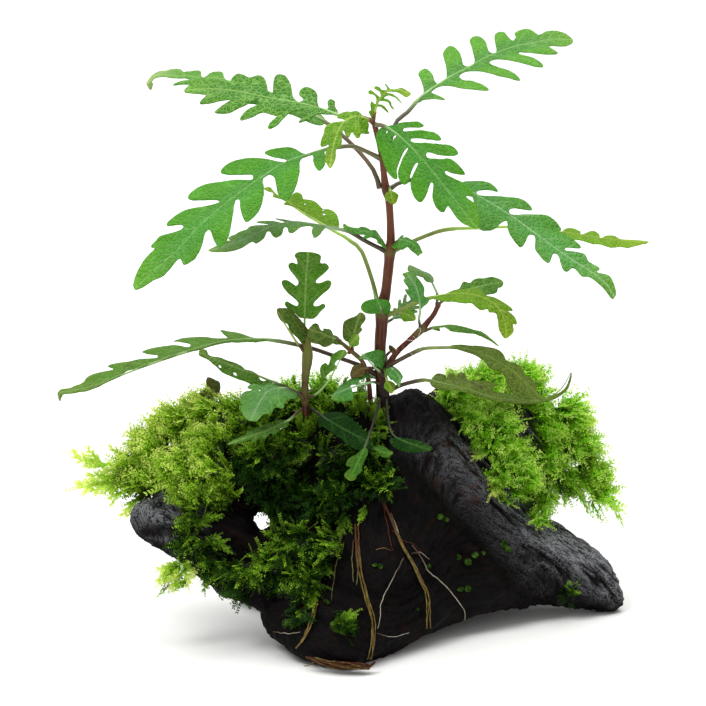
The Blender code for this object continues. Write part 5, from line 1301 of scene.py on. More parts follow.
def tree_of(obj):
    """What rays and nearest points are looked up in."""
    bm = bmesh.new()
    bm.from_mesh(obj.data)
    tree = BVHTree.FromBMesh(bm)
    bm.free()
    return tree


def front_of(tree, right, up):
    """How far away the front is, along the line of sight through (right, up), or None."""
    eye = MM * (MIDDLE - VIEW_DISTANCE * VIEW_AWAY)
    sight = (seen(right, up, 0) - eye).normalized()
    hit = tree.ray_cast(eye, sight)[0]
    if hit is None:
        return None
    return (hit - MM * MIDDLE).dot(VIEW_AWAY) / MM


def press_hollows(wood):
    """Shapes the front: crests and troughs along lines, then round hollows."""
    tree = tree_of(wood)
    places = points_of(wood)
    for width, rise, line in CRESTS:
        fronts = [(right, up, front_of(tree, right, up)) for right, up in line]
        knots = np.array([seen(*front) for front in fronts if front[2] is not None])
        apart = np.full(len(places), 1.0)
        for start, end in zip(knots, knots[1:]):
            way = end - start
            share = np.clip((places - start) @ way / (way @ way), 0, 1)
            apart = np.minimum(apart, np.linalg.norm(places - start - share[:, None] * way, axis=1))
        share = np.clip(1 - (apart / MM / width) ** 2, 0, 1) ** 2
        places -= (share * rise * MM)[:, None] * (np.array(VIEW_AWAY) - np.array(VIEW_UP) * 0.4)
    for right, up, width, depth in HOLLOWS:
        away = front_of(tree, right, up)
        if away is None:
            continue
        apart = np.linalg.norm(places - np.array(seen(right, up, away)), axis=1) / MM
        share = np.clip(1 - (apart / (1.5 * width)) ** 2, 0, 1) ** 2
        places += (share * depth * MM)[:, None] * np.array(VIEW_AWAY)
    set_points(wood, places)


def driftwood_paint():
    """Waterlogged wood: brown-black, charcoal on worn crests and lighter where they face up as painted light,
    rust in the grooves and painted shade darkening them, lengthwise grain.
    """
    p = Paints("driftwood_dark")
    along_grain = p.attribute("grain", "Vector")
    fibre = p.noise(1500, 4, along_grain, 0.4)
    band = p.noise(420, 4, along_grain, 0.6)
    grit = p.noise(2200, 2)
    crest = p.attribute("crest")
    base = p.tint(paint("070606"), "0e0b0c", p.noise(60, 4), 0.35, 0.65)
    base = p.tint(base, "24150f", band, 0.5, 0.72, 0, 0.5)
    fleck = p.reckon("MULTIPLY", fibre, p.between(grit, 0.3, 0.6, 0.7, 1.2))
    grey = p.tint(paint("242428"), "909196", fleck, 0.34, 0.64)
    # Grey on worn crests: partly real wear, partly painted light on the lit faces
    base = p.mix(p.reckon("MULTIPLY", p.attribute("worn_and_lit"), p.between(crest, 0.15, 0.75)), base, grey)
    base = p.tint(base, "4a2a20", p.attribute("rust"), 0.25, 0.8, 0, 0.55)
    # Painted shade: darker where the crest value is low, in the grooves
    base = p.tint(base, "080606", crest, 0.3, 0.0, 0, 0.7)
    fine = p.bump(fibre, 0.0004, 0.9)
    coarse = p.bump(band, 0.001, 0.8, Normal=fine)
    normal = p.bump(grit, 0.0001, 0.4, Normal=coarse)
    rough = p.between(band, 0.35, 0.7, 0.5, 0.78)
    p.set(Base_Color=base, Roughness=rough, Specular_IOR_Level=0.06, Normal=normal)
    return p.material


def shape_grain(wood):
    """Raises the lengthwise grain out of the skin and keeps what its material reads."""
    places, normals = points_of(wood), normals_of(wood)
    grain = grain_of(places)
    ups = (places @ np.array(VIEW_UP)) / MM
    rights = places[:, 0] / MM
    knob, peak = nearness(places, *KNOB), nearness(places, *PEAK)
    broad = waves(grain, 5.5, 3.1)
    groove = ridges(grain, 3.0, 7.7)
    fine = ridges(grain, 1.3, 12.3)
    height = (0.9 * broad + 0.8 * (groove - 0.45) + 0.35 * (fine - 0.45)) * (1 - 0.75 * knob)
    height += (0.25 + 0.6 * peak) * waves(places, 2.2, 5.2)
    places += normals * (height * MM)[:, None]
    places[:, 2] = np.maximum(places[:, 2], 0)
    set_points(wood, places)
    store(wood, "crest", np.clip(0.5 + 0.35 * broad + 0.5 * (groove - 0.45) + 0.3 * (fine - 0.4), 0, 1))
    # Grey of the right arm's ridge and the left stub: partly real wear, partly painted light, stronger on
    # faces that look up; the knob's own paleness is added
    ridge = np.clip((rights - 30 + 0.9 * (ups - 40)) / 30, 0, 1) * np.clip((70 - ups) / 12, 0.06, 1)
    stub = 0.75 * np.clip((-rights - 50) / 8, 0, 1) * np.clip((75 - ups) / 10, 0, 1)
    worn_and_lit = np.clip(normals[:, 2] * 0.7 + 0.35, 0, 1) * np.clip(ridge + stub, 0, 1) + 0.5 * knob
    store(wood, "worn_and_lit", np.clip(worn_and_lit, 0, 1))
    rust = 0.5 * waves(places, 9, 1.9) + 0.9 * nearness(places, *RUST_PATCH) * ridges(grain, 2.2, 4.4)
    store(wood, "rust", np.clip(rust, 0, 1))
    attribute = wood.data.attributes.new("grain", "FLOAT_VECTOR", "POINT")
    attribute.data.foreach_set("vector", grain.astype(np.float32).ravel())


def make_driftwood():
    """The whole piece of wood as one skin; returns its tree, for what lies on it."""
    wood = run_together("driftwood", WOOD_STRETCHES, WOOD_VOXEL, 4)
    places = points_of(wood)
    places += normals_of(wood) * (1.6 * MM * waves(places, 17, 2.0))[:, None]
    set_points(wood, places)
    reskin(wood, SKIN_VOXEL, 2)
    press_hollows(wood)
    shape_grain(wood)
    smooth(wood)
    wood.data.materials.append(driftwood_paint())
    finish_piece(wood, [
        "driftwood_body", "driftwood_left_limb", "driftwood_upper_left_bough", "driftwood_right_arm",
        "driftwood_rear_knob",
    ])
    return tree_of(wood)


# Moss cushions: balls (right, up, away, radius), with away None where the ball sits on the wood's front
MOSS = {
    "moss_left": [(-72.5, 67, 30, 6), (-65, 75, 31, 7.5), (-57, 81.5, 33, 8.5), (-47, 84, 35, 10),
        (-66, 63, 28, 7.5), (-56, 66, 25, 8.5), (-46, 66, 26, 9.5), (-52, 57, None, 6), (-42, 59, None, 6),
        (-38.5, 83, 37, 9), (-47, 75, 30, 9)],
    "moss_centre": [(-31.5, 81, 38, 9.5), (-22, 88, 44, 10), (-10, 90, 45, 9), (1, 90.5, 46, 7),
        (-30, 70, 27, 9.5), (-18, 74, None, 8.5), (-6, 70, None, 9), (4, 72, None, 8), (8, 62, None, 5.5),
        (-8, 56, None, 8.5), (-22, 58, 29, 8.5)],
    "moss_lower": [(-18, 42, None, 9), (-8, 42, None, 7), (-26, 36, None, 8), (-16, 30, None, 6.5),
        (-17, 21.5, None, 3.6), (-36, 33, None, 7.5), (-48, 40, None, 6), (-55, 45, None, 5.5),
        (-53, 51, None, 4.5)],
    "moss_hanging_tuft": [(-58.5, 35.5, 17, 3), (-62.5, 31.5, 17, 2), (-55, 32, 18, 2.5)],
    "moss_right": [(35, 92, 52, 8.5), (45, 96, 56, 9), (56, 95, 58, 8.5), (39, 83, None, 8),
        (48, 78, None, 9.5), (52.5, 67, None, 9), (59, 59, None, 7.5), (62, 50.5, None, 4.5)],
    "moss_right_rear": [(70, 86, 60, 7.5), (74, 77, 58, 7.5), (77, 68, 57, 5.5), (80, 61, 56, 3),
        (69, 66, 58, 5), (61.5, 84, None, 6), (63, 76, None, 5.5), (64.5, 69, None, 4.5)],
    "moss_sprig_front": [(-6, 18.5, None, 3.4), (-2.5, 15.5, None, 3.4)],
    "moss_sprig_middle": [(47, 62.5, None, 3.2)],
    "moss_sprig_right": [(71.3, 27, None, 3.2)],
}
# For each cushion: colour, tufts, shoot length in mm, lean (right, up, away), how much painted sunlight it
# has (0 to 1), how much more at its top, and how much of the balls its dark inside fills
MOSS_GROWTH = {
    "moss_left": ("yellow", 255, (7, 11), (-0.85, 0.35, -0.15), 0.8, 0.55, 0.62),
    "moss_centre": ("green", 310, (5, 9), (0, 0.15, -0.45), 0.07, 0.9, 0.68),
    "moss_lower": ("green", 135, (4.5, 8.5), (-0.15, -0.2, -0.3), 0.13, 0, 0.6),
    "moss_hanging_tuft": ("yellow", 7, (4.5, 8), (-0.5, -0.5, -0.2), 1, 0, 0.6),
    "moss_right": ("green", 270, (5.5, 9.5), (0.35, 0.2, -0.4), 0.95, 0.2, 0.64),
    "moss_right_rear": ("green", 170, (6, 11), (0.7, -0.3, -0.1), 0.8, 0.2, 0.6),
    "moss_sprig_front": ("green", 7, (4, 6.5), (0.35, 0.35, -0.3), 0.03, 0, 0.4),
    "moss_sprig_middle": ("yellow", 4, (3.5, 5.5), (-0.2, -0.1, -0.5), 0.85, 0, 0.3),
    "moss_sprig_right": ("green", 6, (3, 4.5), (0, 0.1, -0.5), 0.25, 0, 0.3),
}
SHOOTS_IN_TUFT = 5
# Part of the shoots that branch, and part of the tufts that grow deeper in and darker with painted shade,
# with how deep
BRANCHED_SHARE = 0.45
DEEP_SHARE = 0.25
DEEP_BY = 3.5
# How far in front of the wood a spray's foot and tip lie, and its depth where there is no wood behind it
SPRAY_LIFT = (1.0, 3.0)
SPRAY_DEPTH = 24
CORE_VOXEL = 1.6
# Long sprays that stand out of a cushion: foot and tip (right, up, away), without away on the wood's front
SPRAYS = {
    "moss_left": [((-81, 68.3, 29), (-96, 77.3, 27)), ((-74, 65, 28), (-96.7, 63, 27)),
        ((-74.3, 71.7, 29), (-83, 77.5, 27)), ((-72, 66, 28), (-84, 72, 27)),
        ((-72, 64, 28), (-86, 68.5, 27)), ((-70, 62, 28), (-84, 63.5, 27)),
        ((-67.7, 76.7, 30), (-76, 81.5, 28)), ((-80, 70, 28), (-92, 70.5, 26)),
        ((-79, 66, 28), (-91, 66.8, 26)), ((-62, 84, 32), (-64.5, 91.5, 31)),
        ((-56.5, 87, 33), (-58, 92.8, 32)), ((-70, 78, 30), (-75.5, 83.5, 28)),
        ((-76, 62, 27), (-83, 55.5, 25)), ((-78, 64, 27), (-86, 60, 25)), ((-50, 89, 34), (-48, 94, 33)),
        ((-72, 59, 27), (-78.5, 51.5, 25)), ((-66, 80, 30), (-70, 88, 29))],
    "moss_centre": [((6.3, 84), (7.7, 94, 31.5)), ((10.3, 83), (11.4, 91, 31.5)), ((4.3, 85), (3.4, 95, 32)),
        ((8, 82), (9, 89.5, 31)), ((1, 86), (-0.5, 93, 32)), ((3, 80.3), (12.7, 79.7)),
        ((6.3, 82), (13, 82.3)), ((7.7, 83.3), (14.7, 84.7)), ((6.3, 78.3), (11, 81)),
        ((-17, 80), (-18.7, 89.5, 28)), ((-14, 79), (-12.8, 89, 27)), ((-15.6, 78), (-15.6, 86, 26.5)),
        ((-11.5, 82), (-9.6, 91, 28)), ((-19, 95, 44), (-20, 101, 43)), ((-4, 95, 46), (-1.5, 100.5, 45)),
        ((-30, 90, 40), (-34, 96, 39)), ((4, 57), (2.5, 50.5)), ((-3, 55), (-4.5, 45)),
        ((10, 64), (13, 58))],
    "moss_lower": [((-13, 29), (-13.5, 21.5)), ((-50, 36, 22), (-49, 26, 20)),
        ((-52, 50, 22), (-44, 54.5, 19)), ((-50, 56, 24), (-40.5, 58, 20)), ((-10, 38), (-6, 33)),
        ((-44, 34, 22), (-41, 28, 20)), ((-24, 53), (-29.5, 49.5, 22)), ((-25, 46), (-31, 48, 22)),
        ((-25, 57), (-30, 54.5, 24)), ((-56, 52), (-47, 50, 18)), ((-52, 43), (-41, 46, 19)),
        ((-48, 45), (-38, 41.5, 20))],
    "moss_hanging_tuft": [((-57.5, 39, 18), (-66.5, 28.5, 15)), ((-57, 38, 18), (-54, 27.5, 16)),
        ((-58, 38, 18), (-67, 34.5, 15)), ((-57.5, 38, 18), (-60.5, 27.5, 15)),
        ((-57, 39, 18), (-51, 31.5, 17))],
    "moss_right": [((60, 56), (61.5, 47.5)), ((62, 60), (67, 53.5, 52)), ((50, 100, 56), (51.5, 106, 55)),
        ((40, 97, 54), (43, 104, 53)), ((57, 98, 58), (64, 103.5, 58)), ((46, 76), (39, 72))],
    "moss_right_rear": [((79, 68.3, 55), (88, 65.5, 54)), ((82.3, 60, 55), (93.5, 49.5, 53)),
        ((74, 61.7, 56), (80, 52.5, 54)), ((77, 66, 55), (86.5, 57, 53)), ((74, 84, 58), (81, 85.5, 57)),
        ((79, 75, 57), (86, 74, 56)), ((70, 62, 56), (71.5, 54.5, 55))],
    "moss_sprig_front": [((-8, 16), (2, 23)), ((-8, 16), (-2.5, 14))],
    "moss_sprig_middle": [((49.5, 66), (45, 59)), ((47, 65), (49, 58.5))],
}


def frond(pairs, needle, branches, twig_length, droop, rng):
    """One moss shoot, a unit long along +Y: its places, faces and how far along each place is."""
    places, faces, shares = [], [], []

    def needle_leaf(foot, way, length, half, share):
        side = Vector((-way.y, way.x, 0.5 * rng.uniform(-1, 1))) * half
        middle = foot + way * 0.4 * length + Vector((0, 0, 0.5 * half))
        first = len(places)
        places.extend((foot, middle + side, foot + way * length, middle - side))
        faces.append(range(first, first + 4))
        shares.extend((share, share + 0.06, share + 0.2, share + 0.06))

    def twig(foot, way, length, count, share):
        needle_leaf(foot, way, length, 0.02, share)
        for i in range(count):
            along = 0.06 + 0.9 * i / (count - 1)
            for hand in (-1, 1):
                turn = Matrix.Rotation(hand * rng.uniform(0.6, 0.95), 3, "Z")
                turned = (turn @ way + Vector((0, 0, rng.uniform(-0.1, 0.4)))).normalized()
                reach = needle * (1.1 - 0.55 * along) * rng.uniform(0.8, 1.15)
                start = foot + way * along * length
                needle_leaf(start, turned, reach, 0.25 * reach, share + 0.8 * along * length)

    twig(Vector(), Vector((0, 1, 0)), 1.0, pairs, 0.0)
    for i in range(branches):
        along = 0.15 + 0.55 * i / max(1, branches - 1)
        turn = Matrix.Rotation((-1) ** i * rng.uniform(0.55, 0.85), 3, "Z")
        way = (turn @ Vector((0, 1, 0)) + Vector((0, 0, rng.uniform(-0.1, 0.3)))).normalized()
        twig(Vector((0, along, 0)), way, twig_length * (1.1 - 0.8 * along), max(3, pairs // 3), 0.8 * along)
    places = np.array(places)
    places[:, 2] -= droop * places[:, 1] ** 2
    return places, np.array([list(face) for face in faces]), np.clip(shares, 0, 1)


def balls_in_world(balls, tree):
    """Centres and radii in metres, each ball without a depth of its own set on the wood's front."""
    centres, radii = [], []
    for right, up, away, radius in balls:
        if away is None:
            away = front_of(tree, right, up)
        centres.append(seen(right, up, away))
        radii.append(radius * (1 + away / VIEW_DISTANCE) * MM)
    return np.array(centres), np.array(radii)


def inside(tree, place):
    """Whether a place lies in the wood."""
    hit, normal, _, _ = tree.find_nearest(place)
    return (Vector(place) - hit).dot(normal) < 0


def spread_feet(centres, radii, count, tree, rng):
    """Points on the cushion's outside, the way out at each and its ball's radius, none in the wood."""
    feet, outs, balls = [], [], []
    weights = radii**2 / (radii**2).sum()
    while len(feet) < count:
        which = rng.choice(len(radii), p=weights)
        out = rng.normal(size=3)
        out /= np.linalg.norm(out)
        place = centres[which] + out * radii[which]
        apart = np.linalg.norm(centres - place, axis=1)
        if (apart < 0.86 * radii).any() or inside(tree, place):
            continue
        feet.append(place)
        outs.append(out)
        balls.append(which)
    return np.array(feet), np.array(outs), radii[balls]


def planted(fronds, feet, ways, faces_out, lengths, painted_lights_and_tones, rng):
    """Copies of the shoots set at their feet: one set of places, faces and values."""
    all_places, all_faces, tips, shades = [], [], [], []
    first = 0
    picks = rng.integers(len(fronds), size=len(feet))
    for which, (places, faces, shares) in enumerate(fronds):
        chosen = np.flatnonzero(picks == which)
        if not len(chosen):
            continue
        y = unit(ways[chosen])
        x = unit(np.cross(y, faces_out[chosen]))
        turned = np.einsum("mi,nij->nmj", places, np.stack((x, y, np.cross(x, y)), axis=1))
        set_out = feet[chosen][:, None] + turned * lengths[chosen][:, None, None]
        all_places.append(set_out.reshape(-1, 3))
        steps = first + len(places) * np.arange(len(chosen))
        all_faces.append((faces[None] + steps[:, None, None]).reshape(-1, 4))
        tips.append(np.tile(shares, len(chosen)))
        shades.append(np.repeat(painted_lights_and_tones[chosen], len(places)))
        first += len(places) * len(chosen)
    return np.concatenate(all_places), np.concatenate(all_faces), np.concatenate(tips), np.concatenate(shades)


def moss_paint(name, grown, fresh):
    """Moss shoots: dark at the foot, where they are older and in painted shade, the given colours further up
    where the cushion has painted sunlight, lit through.
    """
    p = Paints(name)
    painted_light_and_tone, tip = p.attribute("painted_light_and_tone"), p.attribute("tip")
    # Each colour runs from painted shade to painted sunlight as the cushion's light value rises
    old = p.tint(paint("060e03"), "467610", painted_light_and_tone, 0.0, 1.0)
    full = p.tint(paint("1c3c08"), grown, painted_light_and_tone, 0.0, 1.0)
    new = p.tint(paint("2e5a10"), "b4e440", painted_light_and_tone, 0.0, 0.5)
    new = p.tint(new, fresh, painted_light_and_tone, 0.5, 1.0)
    base = p.mix(p.between(tip, 0.08, 0.45), old, full)
    base = p.mix(p.between(tip, 0.5, 0.88), base, new)
    p.set(Base_Color=base, Roughness=0.55, Specular_IOR_Level=0.15)
    p.let_light_through(0.4, base)
    return p.material


def moss_core_paint():
    """The shaded inside of a cushion, its darkness painted shade: brown-green, crumbly, lighter as painted
    light in the more sunlit cushions.
    """
    p = Paints("moss_inside")
    crumbs = p.noise(900, 3)
    base = p.tint(paint("080c04"), "2a4410", p.attribute("painted_light_and_tone"), 0.2, 0.8)
    base = p.tint(base, "22340c", crumbs, 0.35, 0.7)
    p.set(Base_Color=base, Roughness=0.95, Normal=p.bump(crumbs, 0.0008, 1.0))
    return p.material


def moss_core(name, centres, radii, painted_light_and_tone):
    """A closed skin round the shrunken balls, with a lumpy surface."""
    joined = bmesh.new()
    for centre, radius in zip(centres, radii):
        bmesh.ops.create_icosphere(joined, subdivisions=3, radius=radius, matrix=Matrix.Translation(centre))
    core = put_mesh(name, joined)
    reskin(core, CORE_VOXEL, 3)
    places = points_of(core)
    places += normals_of(core) * (1.2 * MM * waves(places, 3.5, 6.0))[:, None]
    set_points(core, places)
    store(core, "tip", 0)
    store(core, "painted_light_and_tone", painted_light_and_tone)
    smooth(core)
    return core


def shoots_object(name, parts, material):
    """One object of several sets of planted shoots."""
    faces, first = [], 0
    for places, quads, _, _ in parts:
        faces.append(quads + first)
        first += len(places)
    shoots = mesh_from(name, np.concatenate([part[0] for part in parts]), np.concatenate(faces))
    store(shoots, "tip", np.concatenate([part[2] for part in parts]))
    store(shoots, "painted_light_and_tone", np.concatenate([part[3] for part in parts]))
    shoots.data.materials.append(material)
    return shoots


def make_cushion(name, balls, tree, fronds, paints, seed):
    """One cushion: tufts of shoots over its balls, long sprays, and a dark inside, its darkness painted
    shade.
    """
    simple, branched, long = fronds
    rng = np.random.default_rng(100 + seed)
    hue, tufts, (shortest, longest), lean, yellow, rise, core_share = MOSS_GROWTH[name]
    centres, radii = balls_in_world(balls, tree)
    radii = 0.9 * radii * (1 + 0.16 * waves(centres, 7, 4.0))
    foot, out, thick = spread_feet(centres, radii, tufts, tree, rng)
    uneven = waves(foot, 6, 9.0 + seed)
    leaning = np.array(looking(lean)) * np.linalg.norm(lean)
    way = 0.55 * out + leaning + rng.normal(size=(tufts, 3)) * 0.28
    face = out + np.array((0, 0, 0.3)) + rng.normal(size=(tufts, 3)) * 0.25
    height = (foot[:, 2] - foot[:, 2].mean()) / np.ptp(foot[:, 2])
    # Painted light: lighter in the more sunlit cushions, at a cushion's top and on tufts that face up; the
    # noise and random parts are real tone. Yellow here is the cushion's painted sunlight
    painted_light_and_tone = yellow + rise * height + 0.15 * uneven + rng.normal(size=tufts) * 0.1 + 0.25 * out[:, 2]
    deep = rng.random(tufts) < DEEP_SHARE
    sink = np.where(deep, DEEP_BY, 0.0) * MM

    count = tufts * SHOOTS_IN_TUFT
    of = np.repeat(np.arange(tufts), SHOOTS_IN_TUFT)
    lengths = rng.uniform(shortest, longest, count) * MM * (1 + 0.3 * uneven[of])
    under = np.minimum(0.45 * lengths + sink[of], 0.75 * thick[of])
    feet = foot[of] - out[of] * under[:, None] + rng.normal(size=(count, 3)) * 0.9 * MM
    ways = way[of] + rng.normal(size=(count, 3)) * 0.3
    faces_out = face[of] + rng.normal(size=(count, 3)) * 0.15
    # Deep tufts are darkened: painted shade
    painted_lights_and_tones = np.clip(painted_light_and_tone[of] + rng.normal(size=count) * 0.08 - 0.35 * deep[of], 0, 1)
    many = rng.random(count) < BRANCHED_SHARE
    parts = [
        planted(kind, feet[chosen], ways[chosen], faces_out[chosen], lengths[chosen], painted_lights_and_tones[chosen], rng)
        for kind, chosen in ((branched, many), (simple, ~many)) if chosen.any()
    ]
    parts += sprays_of(name, tree, long, yellow, rng)
    shoots = shoots_object(name, parts, paints[hue])
    # The inside takes the cushion's painted sunlight: lighter in the more sunlit cushions
    core = moss_core(name + "_inside", centres, radii * core_share, yellow)
    core.data.materials.append(paints["inside"])
    finish_piece(join([shoots, core], name), [name])


def spray_ends(tree, spray):
    """Foot and tip of a spray in the world, set on the wood's front where they have no depth."""
    ends, last = [], SPRAY_DEPTH
    for (right, up, *away), off in zip(spray, SPRAY_LIFT):
        if not away:
            near = front_of(tree, right, up)
            away = [(last if near is None else near) - off]
        last = away[0]
        ends.append(np.array(seen(right, up, last)))
    return ends


def sprays_of(name, tree, long, yellow, rng):
    """The cushion's long sprays, each with two shorter ones beside it."""
    parts = []
    for spray in SPRAYS.get(name, []):
        foot, tip = spray_ends(tree, spray)
        way = tip - foot
        length = np.linalg.norm(way)
        for size, turn in ((1.0, 0.0), (0.7, 0.4), (0.6, 0.4)):
            feet = (foot + 0.15 * way * (size < 1))[None]
            ways = (way + rng.normal(size=3) * turn * length * 0.6)[None]
            face = np.array([[0.2, -0.5, 0.8]]) + rng.normal(size=(1, 3)) * 0.25
            # Sprays get more painted sunlight than their cushion, where yellow is the cushion's painted
            # sunlight, and more of their length takes the tip colours
            painted_light_and_tone = np.array([np.clip(yellow + 0.2 + rng.normal() * 0.08, 0, 1)])
            set_out = planted(long, feet, ways, face, np.array([length * size]), painted_light_and_tone, rng)
            parts.append((*set_out[:2], 0.45 + 0.5 * set_out[2], set_out[3]))
    return parts


def make_moss(tree):
    """All cushions, from three kinds of shoots: plain, branched and long."""
    rng = random.Random(11)
    fronds = (
        [frond(10, 0.19, 0, 0, rng.uniform(0.0, 0.35), rng) for _ in range(8)],
        [frond(9, 0.16, 4, 0.5, rng.uniform(0.1, 0.35), rng) for _ in range(6)],
        [frond(17, 0.1, 6, 0.3, rng.uniform(0.0, 0.25), rng) for _ in range(4)],
    )
    paints = {
        "yellow": moss_paint("moss_yellow", "b0e034", "f6ff8c"),
        "green": moss_paint("moss_green", "aaf034", "ecff88"),
        "inside": moss_core_paint(),
    }
    for seed, (name, balls) in enumerate(MOSS.items()):
        make_cushion(name, balls, tree, fronds, paints, seed)


# Roots on the wood's front: strands in the bundle, strand radius, spread of the bundle at both ends,
# colour and points (right, up)
ROOTS = {
    "root_front_long": (3, 0.27, (0.6, 0.7), "tan", [
        (1, 50.3), (1.5, 42), (2.3, 35.3), (4.8, 24.7), (6.8, 18.5), (6.8, 13.2), (6.4, 8), (5.5, 5.2)]),
    "root_middle": (3, 0.26, (0.1, 0.85), "tan", [
        (10.2, 57.2), (12.5, 52.6), (15.2, 46.1), (17.1, 41.9), (20.2, 36.9), (22.5, 31.5), (24.8, 27.7),
        (25.3, 23.1), (24.9, 18.5), (25.1, 15.4)]),
    "root_thin_right": (1, 0.2, (0, 0), "pale", [
        (19.8, 43.2), (24.2, 37.3), (24, 35.4), (31.6, 29.2), (37.8, 20.8), (37.2, 18.1)]),
    "root_thin_left": (1, 0.17, (0, 0), "pale", [
        (16.7, 38.8), (12.5, 30.4), (10.4, 27), (8.9, 22), (9.4, 19.7), (8.3, 15.5)]),
    "root_low_left": (2, 0.3, (0.5, 0.5), "tan", [(-12.4, 24.5), (-13.2, 20), (-15.5, 13.4), (-19, 8.8)]),
}
# Loose thin roots: how far off the wood, radius, colour and points (right, up)
ROOTLETS = [
    (0.3, 0.2, "grey", [(0.2, 45), (-0.4, 38), (0.2, 31)]),
    (0.3, 0.2, "grey", [(1.6, 45), (1.9, 38), (1.2, 30)]),
    (0.3, 0.16, "grey", [(-3.3, 48), (-4.4, 42), (-6, 35), (-7.4, 24.5)]),
    (0.2, 0.2, "tan", [(-13.7, 21), (-14.2, 17.6), (-16.2, 13.8)]),
    (0.2, 0.2, "tan", [(-12.6, 4.6), (-14.4, 3.2), (-16.4, 2.9)]),
    (0.2, 0.13, "pale", [(-26.5, 14.4), (-21, 13.6), (-17.5, 14.4)]),
    (0.2, 0.13, "pale", [(8, 13.8), (13, 12.4), (18.5, 14)]),
    (0.2, 0.13, "pale", [(-31, 30.5), (-36, 29.2), (-38.5, 26.8)]),
    (0.2, 0.16, "pale", [(-38, 26), (-36, 30), (-31.5, 32)]),
    (0.2, 0.18, "red", [(9.7, 58.3), (11.5, 50), (12.6, 43), (13.4, 41.5)]),
    (0.2, 0.15, "tan", [(12.8, 41.4), (10.4, 42.4), (7.6, 41.8)]),
    (0.2, 0.15, "pale", [(12.6, 54), (15, 48), (16.6, 43)]),
    (0.2, 0.13, "red", [(13, 48.3), (17, 44.3), (20, 44), (24.5, 39)]),
    (0.2, 0.12, "pale", [(19.6, 40.5), (22.5, 41), (25.5, 38.5)]),
]
ROOT_COLOURS = {
    "tan": ("564620", "86743c"), "grey": ("4c4a2e", "76724a"), "pale": ("8c8674", "b4ae9e"),
    "red": ("3c1810", "582a1a"),
}
# How far a strand strays from its line, in mm
WANDER = 0.25


def root_paint(name, dark, light):
    """Root skin: streaked between the two colours, red-brown at its foot."""
    p = Paints("root_" + name)
    streak = p.noise(500, 3)
    base = p.tint(paint(dark), light, streak, 0.3, 0.7)
    base = p.tint(base, "44200f", p.attribute("foot"), 0.1, 0.5, 0.85, 0)
    normal = p.bump(streak, 0.0001, 0.5)
    p.set(Base_Color=base, Roughness=0.5, Specular_IOR_Level=0.15, Normal=normal)
    return p.material


def laid_on(tree, points, lift):
    """Points (right, up) given a depth just in front of the wood, without sudden steps."""
    depths = []
    for right, up in points:
        near = [front_of(tree, right + x, up + y) for x in (-0.5, 0, 0.5) for y in (-0.5, 0, 0.5)]
        near = [away for away in near if away is not None]
        depths.append(min(near) if near else (depths[-1] if depths else 10))
    return [(right, up, away - lift) for (right, up), away in zip(points, depths)]


def dense(points, count):
    """More points along a given line, so that it follows the wood between them."""
    shares = np.linspace(0, 1, count)
    knots = np.array(points, float)
    run = run_along(knots)
    run /= run[-1]
    return [tuple(float(np.interp(share, run, knots[:, axis])) for axis in (0, 1)) for share in shares]


def strand(name, tree, points, radius, lift, material, seed):
    """One root: a tapering tube laid along the wood, slightly wandering."""
    count = 4 * len(points)
    line = laid_on(tree, dense(points, count), lift + radius)
    places = np.array([seen(*point) for point in line])
    smoothed = places.copy()
    for _ in range(2):
        smoothed[1:-1] = (smoothed[:-2] + 2 * smoothed[1:-1] + smoothed[2:]) / 4
    sway = np.array([[waves(np.array([[i * 1.7, axis * 5.1 + seed, 3.3]]) * MM, 1, 2.0)[0]
                      for axis in range(3)] for i in range(count)])
    smoothed += WANDER * MM * sway
    smoothed[:, 2] = np.maximum(smoothed[:, 2], 1.2 * radius * MM)
    shares = np.linspace(0, 1, count)
    radii = radius * (1.15 - 0.5 * shares)
    root = tube_along(name, smoothed, radii, sides=6)
    store(root, "foot", shares[nearest_step(root, smoothed)])
    smooth(root)
    root.data.materials.append(material)
    return root


def make_roots(tree):
    """The roots with solids of their own, as bundles of strands, and the loose thin ones."""
    paints = {name: root_paint(name, *colours) for name, colours in ROOT_COLOURS.items()}
    for seed, (name, (strands, radius, spreads, colour, points)) in enumerate(ROOTS.items()):
        bundle = []
        for i in range(strands):
            turn = 2 * math.pi * i / strands
            widths = np.linspace(*spreads, len(points))
            moved = [(right + width * math.cos(turn + 0.5 * k), up)
                     for k, (width, (right, up)) in enumerate(zip(widths, points))]
            lift = 0.15 + spreads[0] * (0.5 + 0.5 * math.sin(turn))
            bundle.append(strand(name, tree, moved, radius, lift, paints[colour], 7 * seed + i))
        finish_piece(join(bundle, name) if strands > 1 else bundle[0], [name])
    loose = [
        strand(f"rootlet_{i}", tree, points, radius, lift, paints[colour], 50 + i)
        for i, (lift, radius, colour, points) in enumerate(ROOTLETS)
    ]
    finish_piece(join(loose, "rootlets"), [])
    make_tuft(paints)


# The fibrous mat under the front foot: its middle line and half thickness (right, up, away, half), and
# how many fibres it has
FIBRES = 46
TUFT = [(-16.0, 6.2, 3.0, 0.7), (-12, 4.8, 1.5, 1.4), (-8.0, 3.6, 0.8, 1.6), (-3, 3.0, 0.2, 1.8),
        (1.5, 2.9, 0, 1.7), (5.5, 2.6, 0, 1.2), (7.4, 4.2, 0.4, 0.5)]


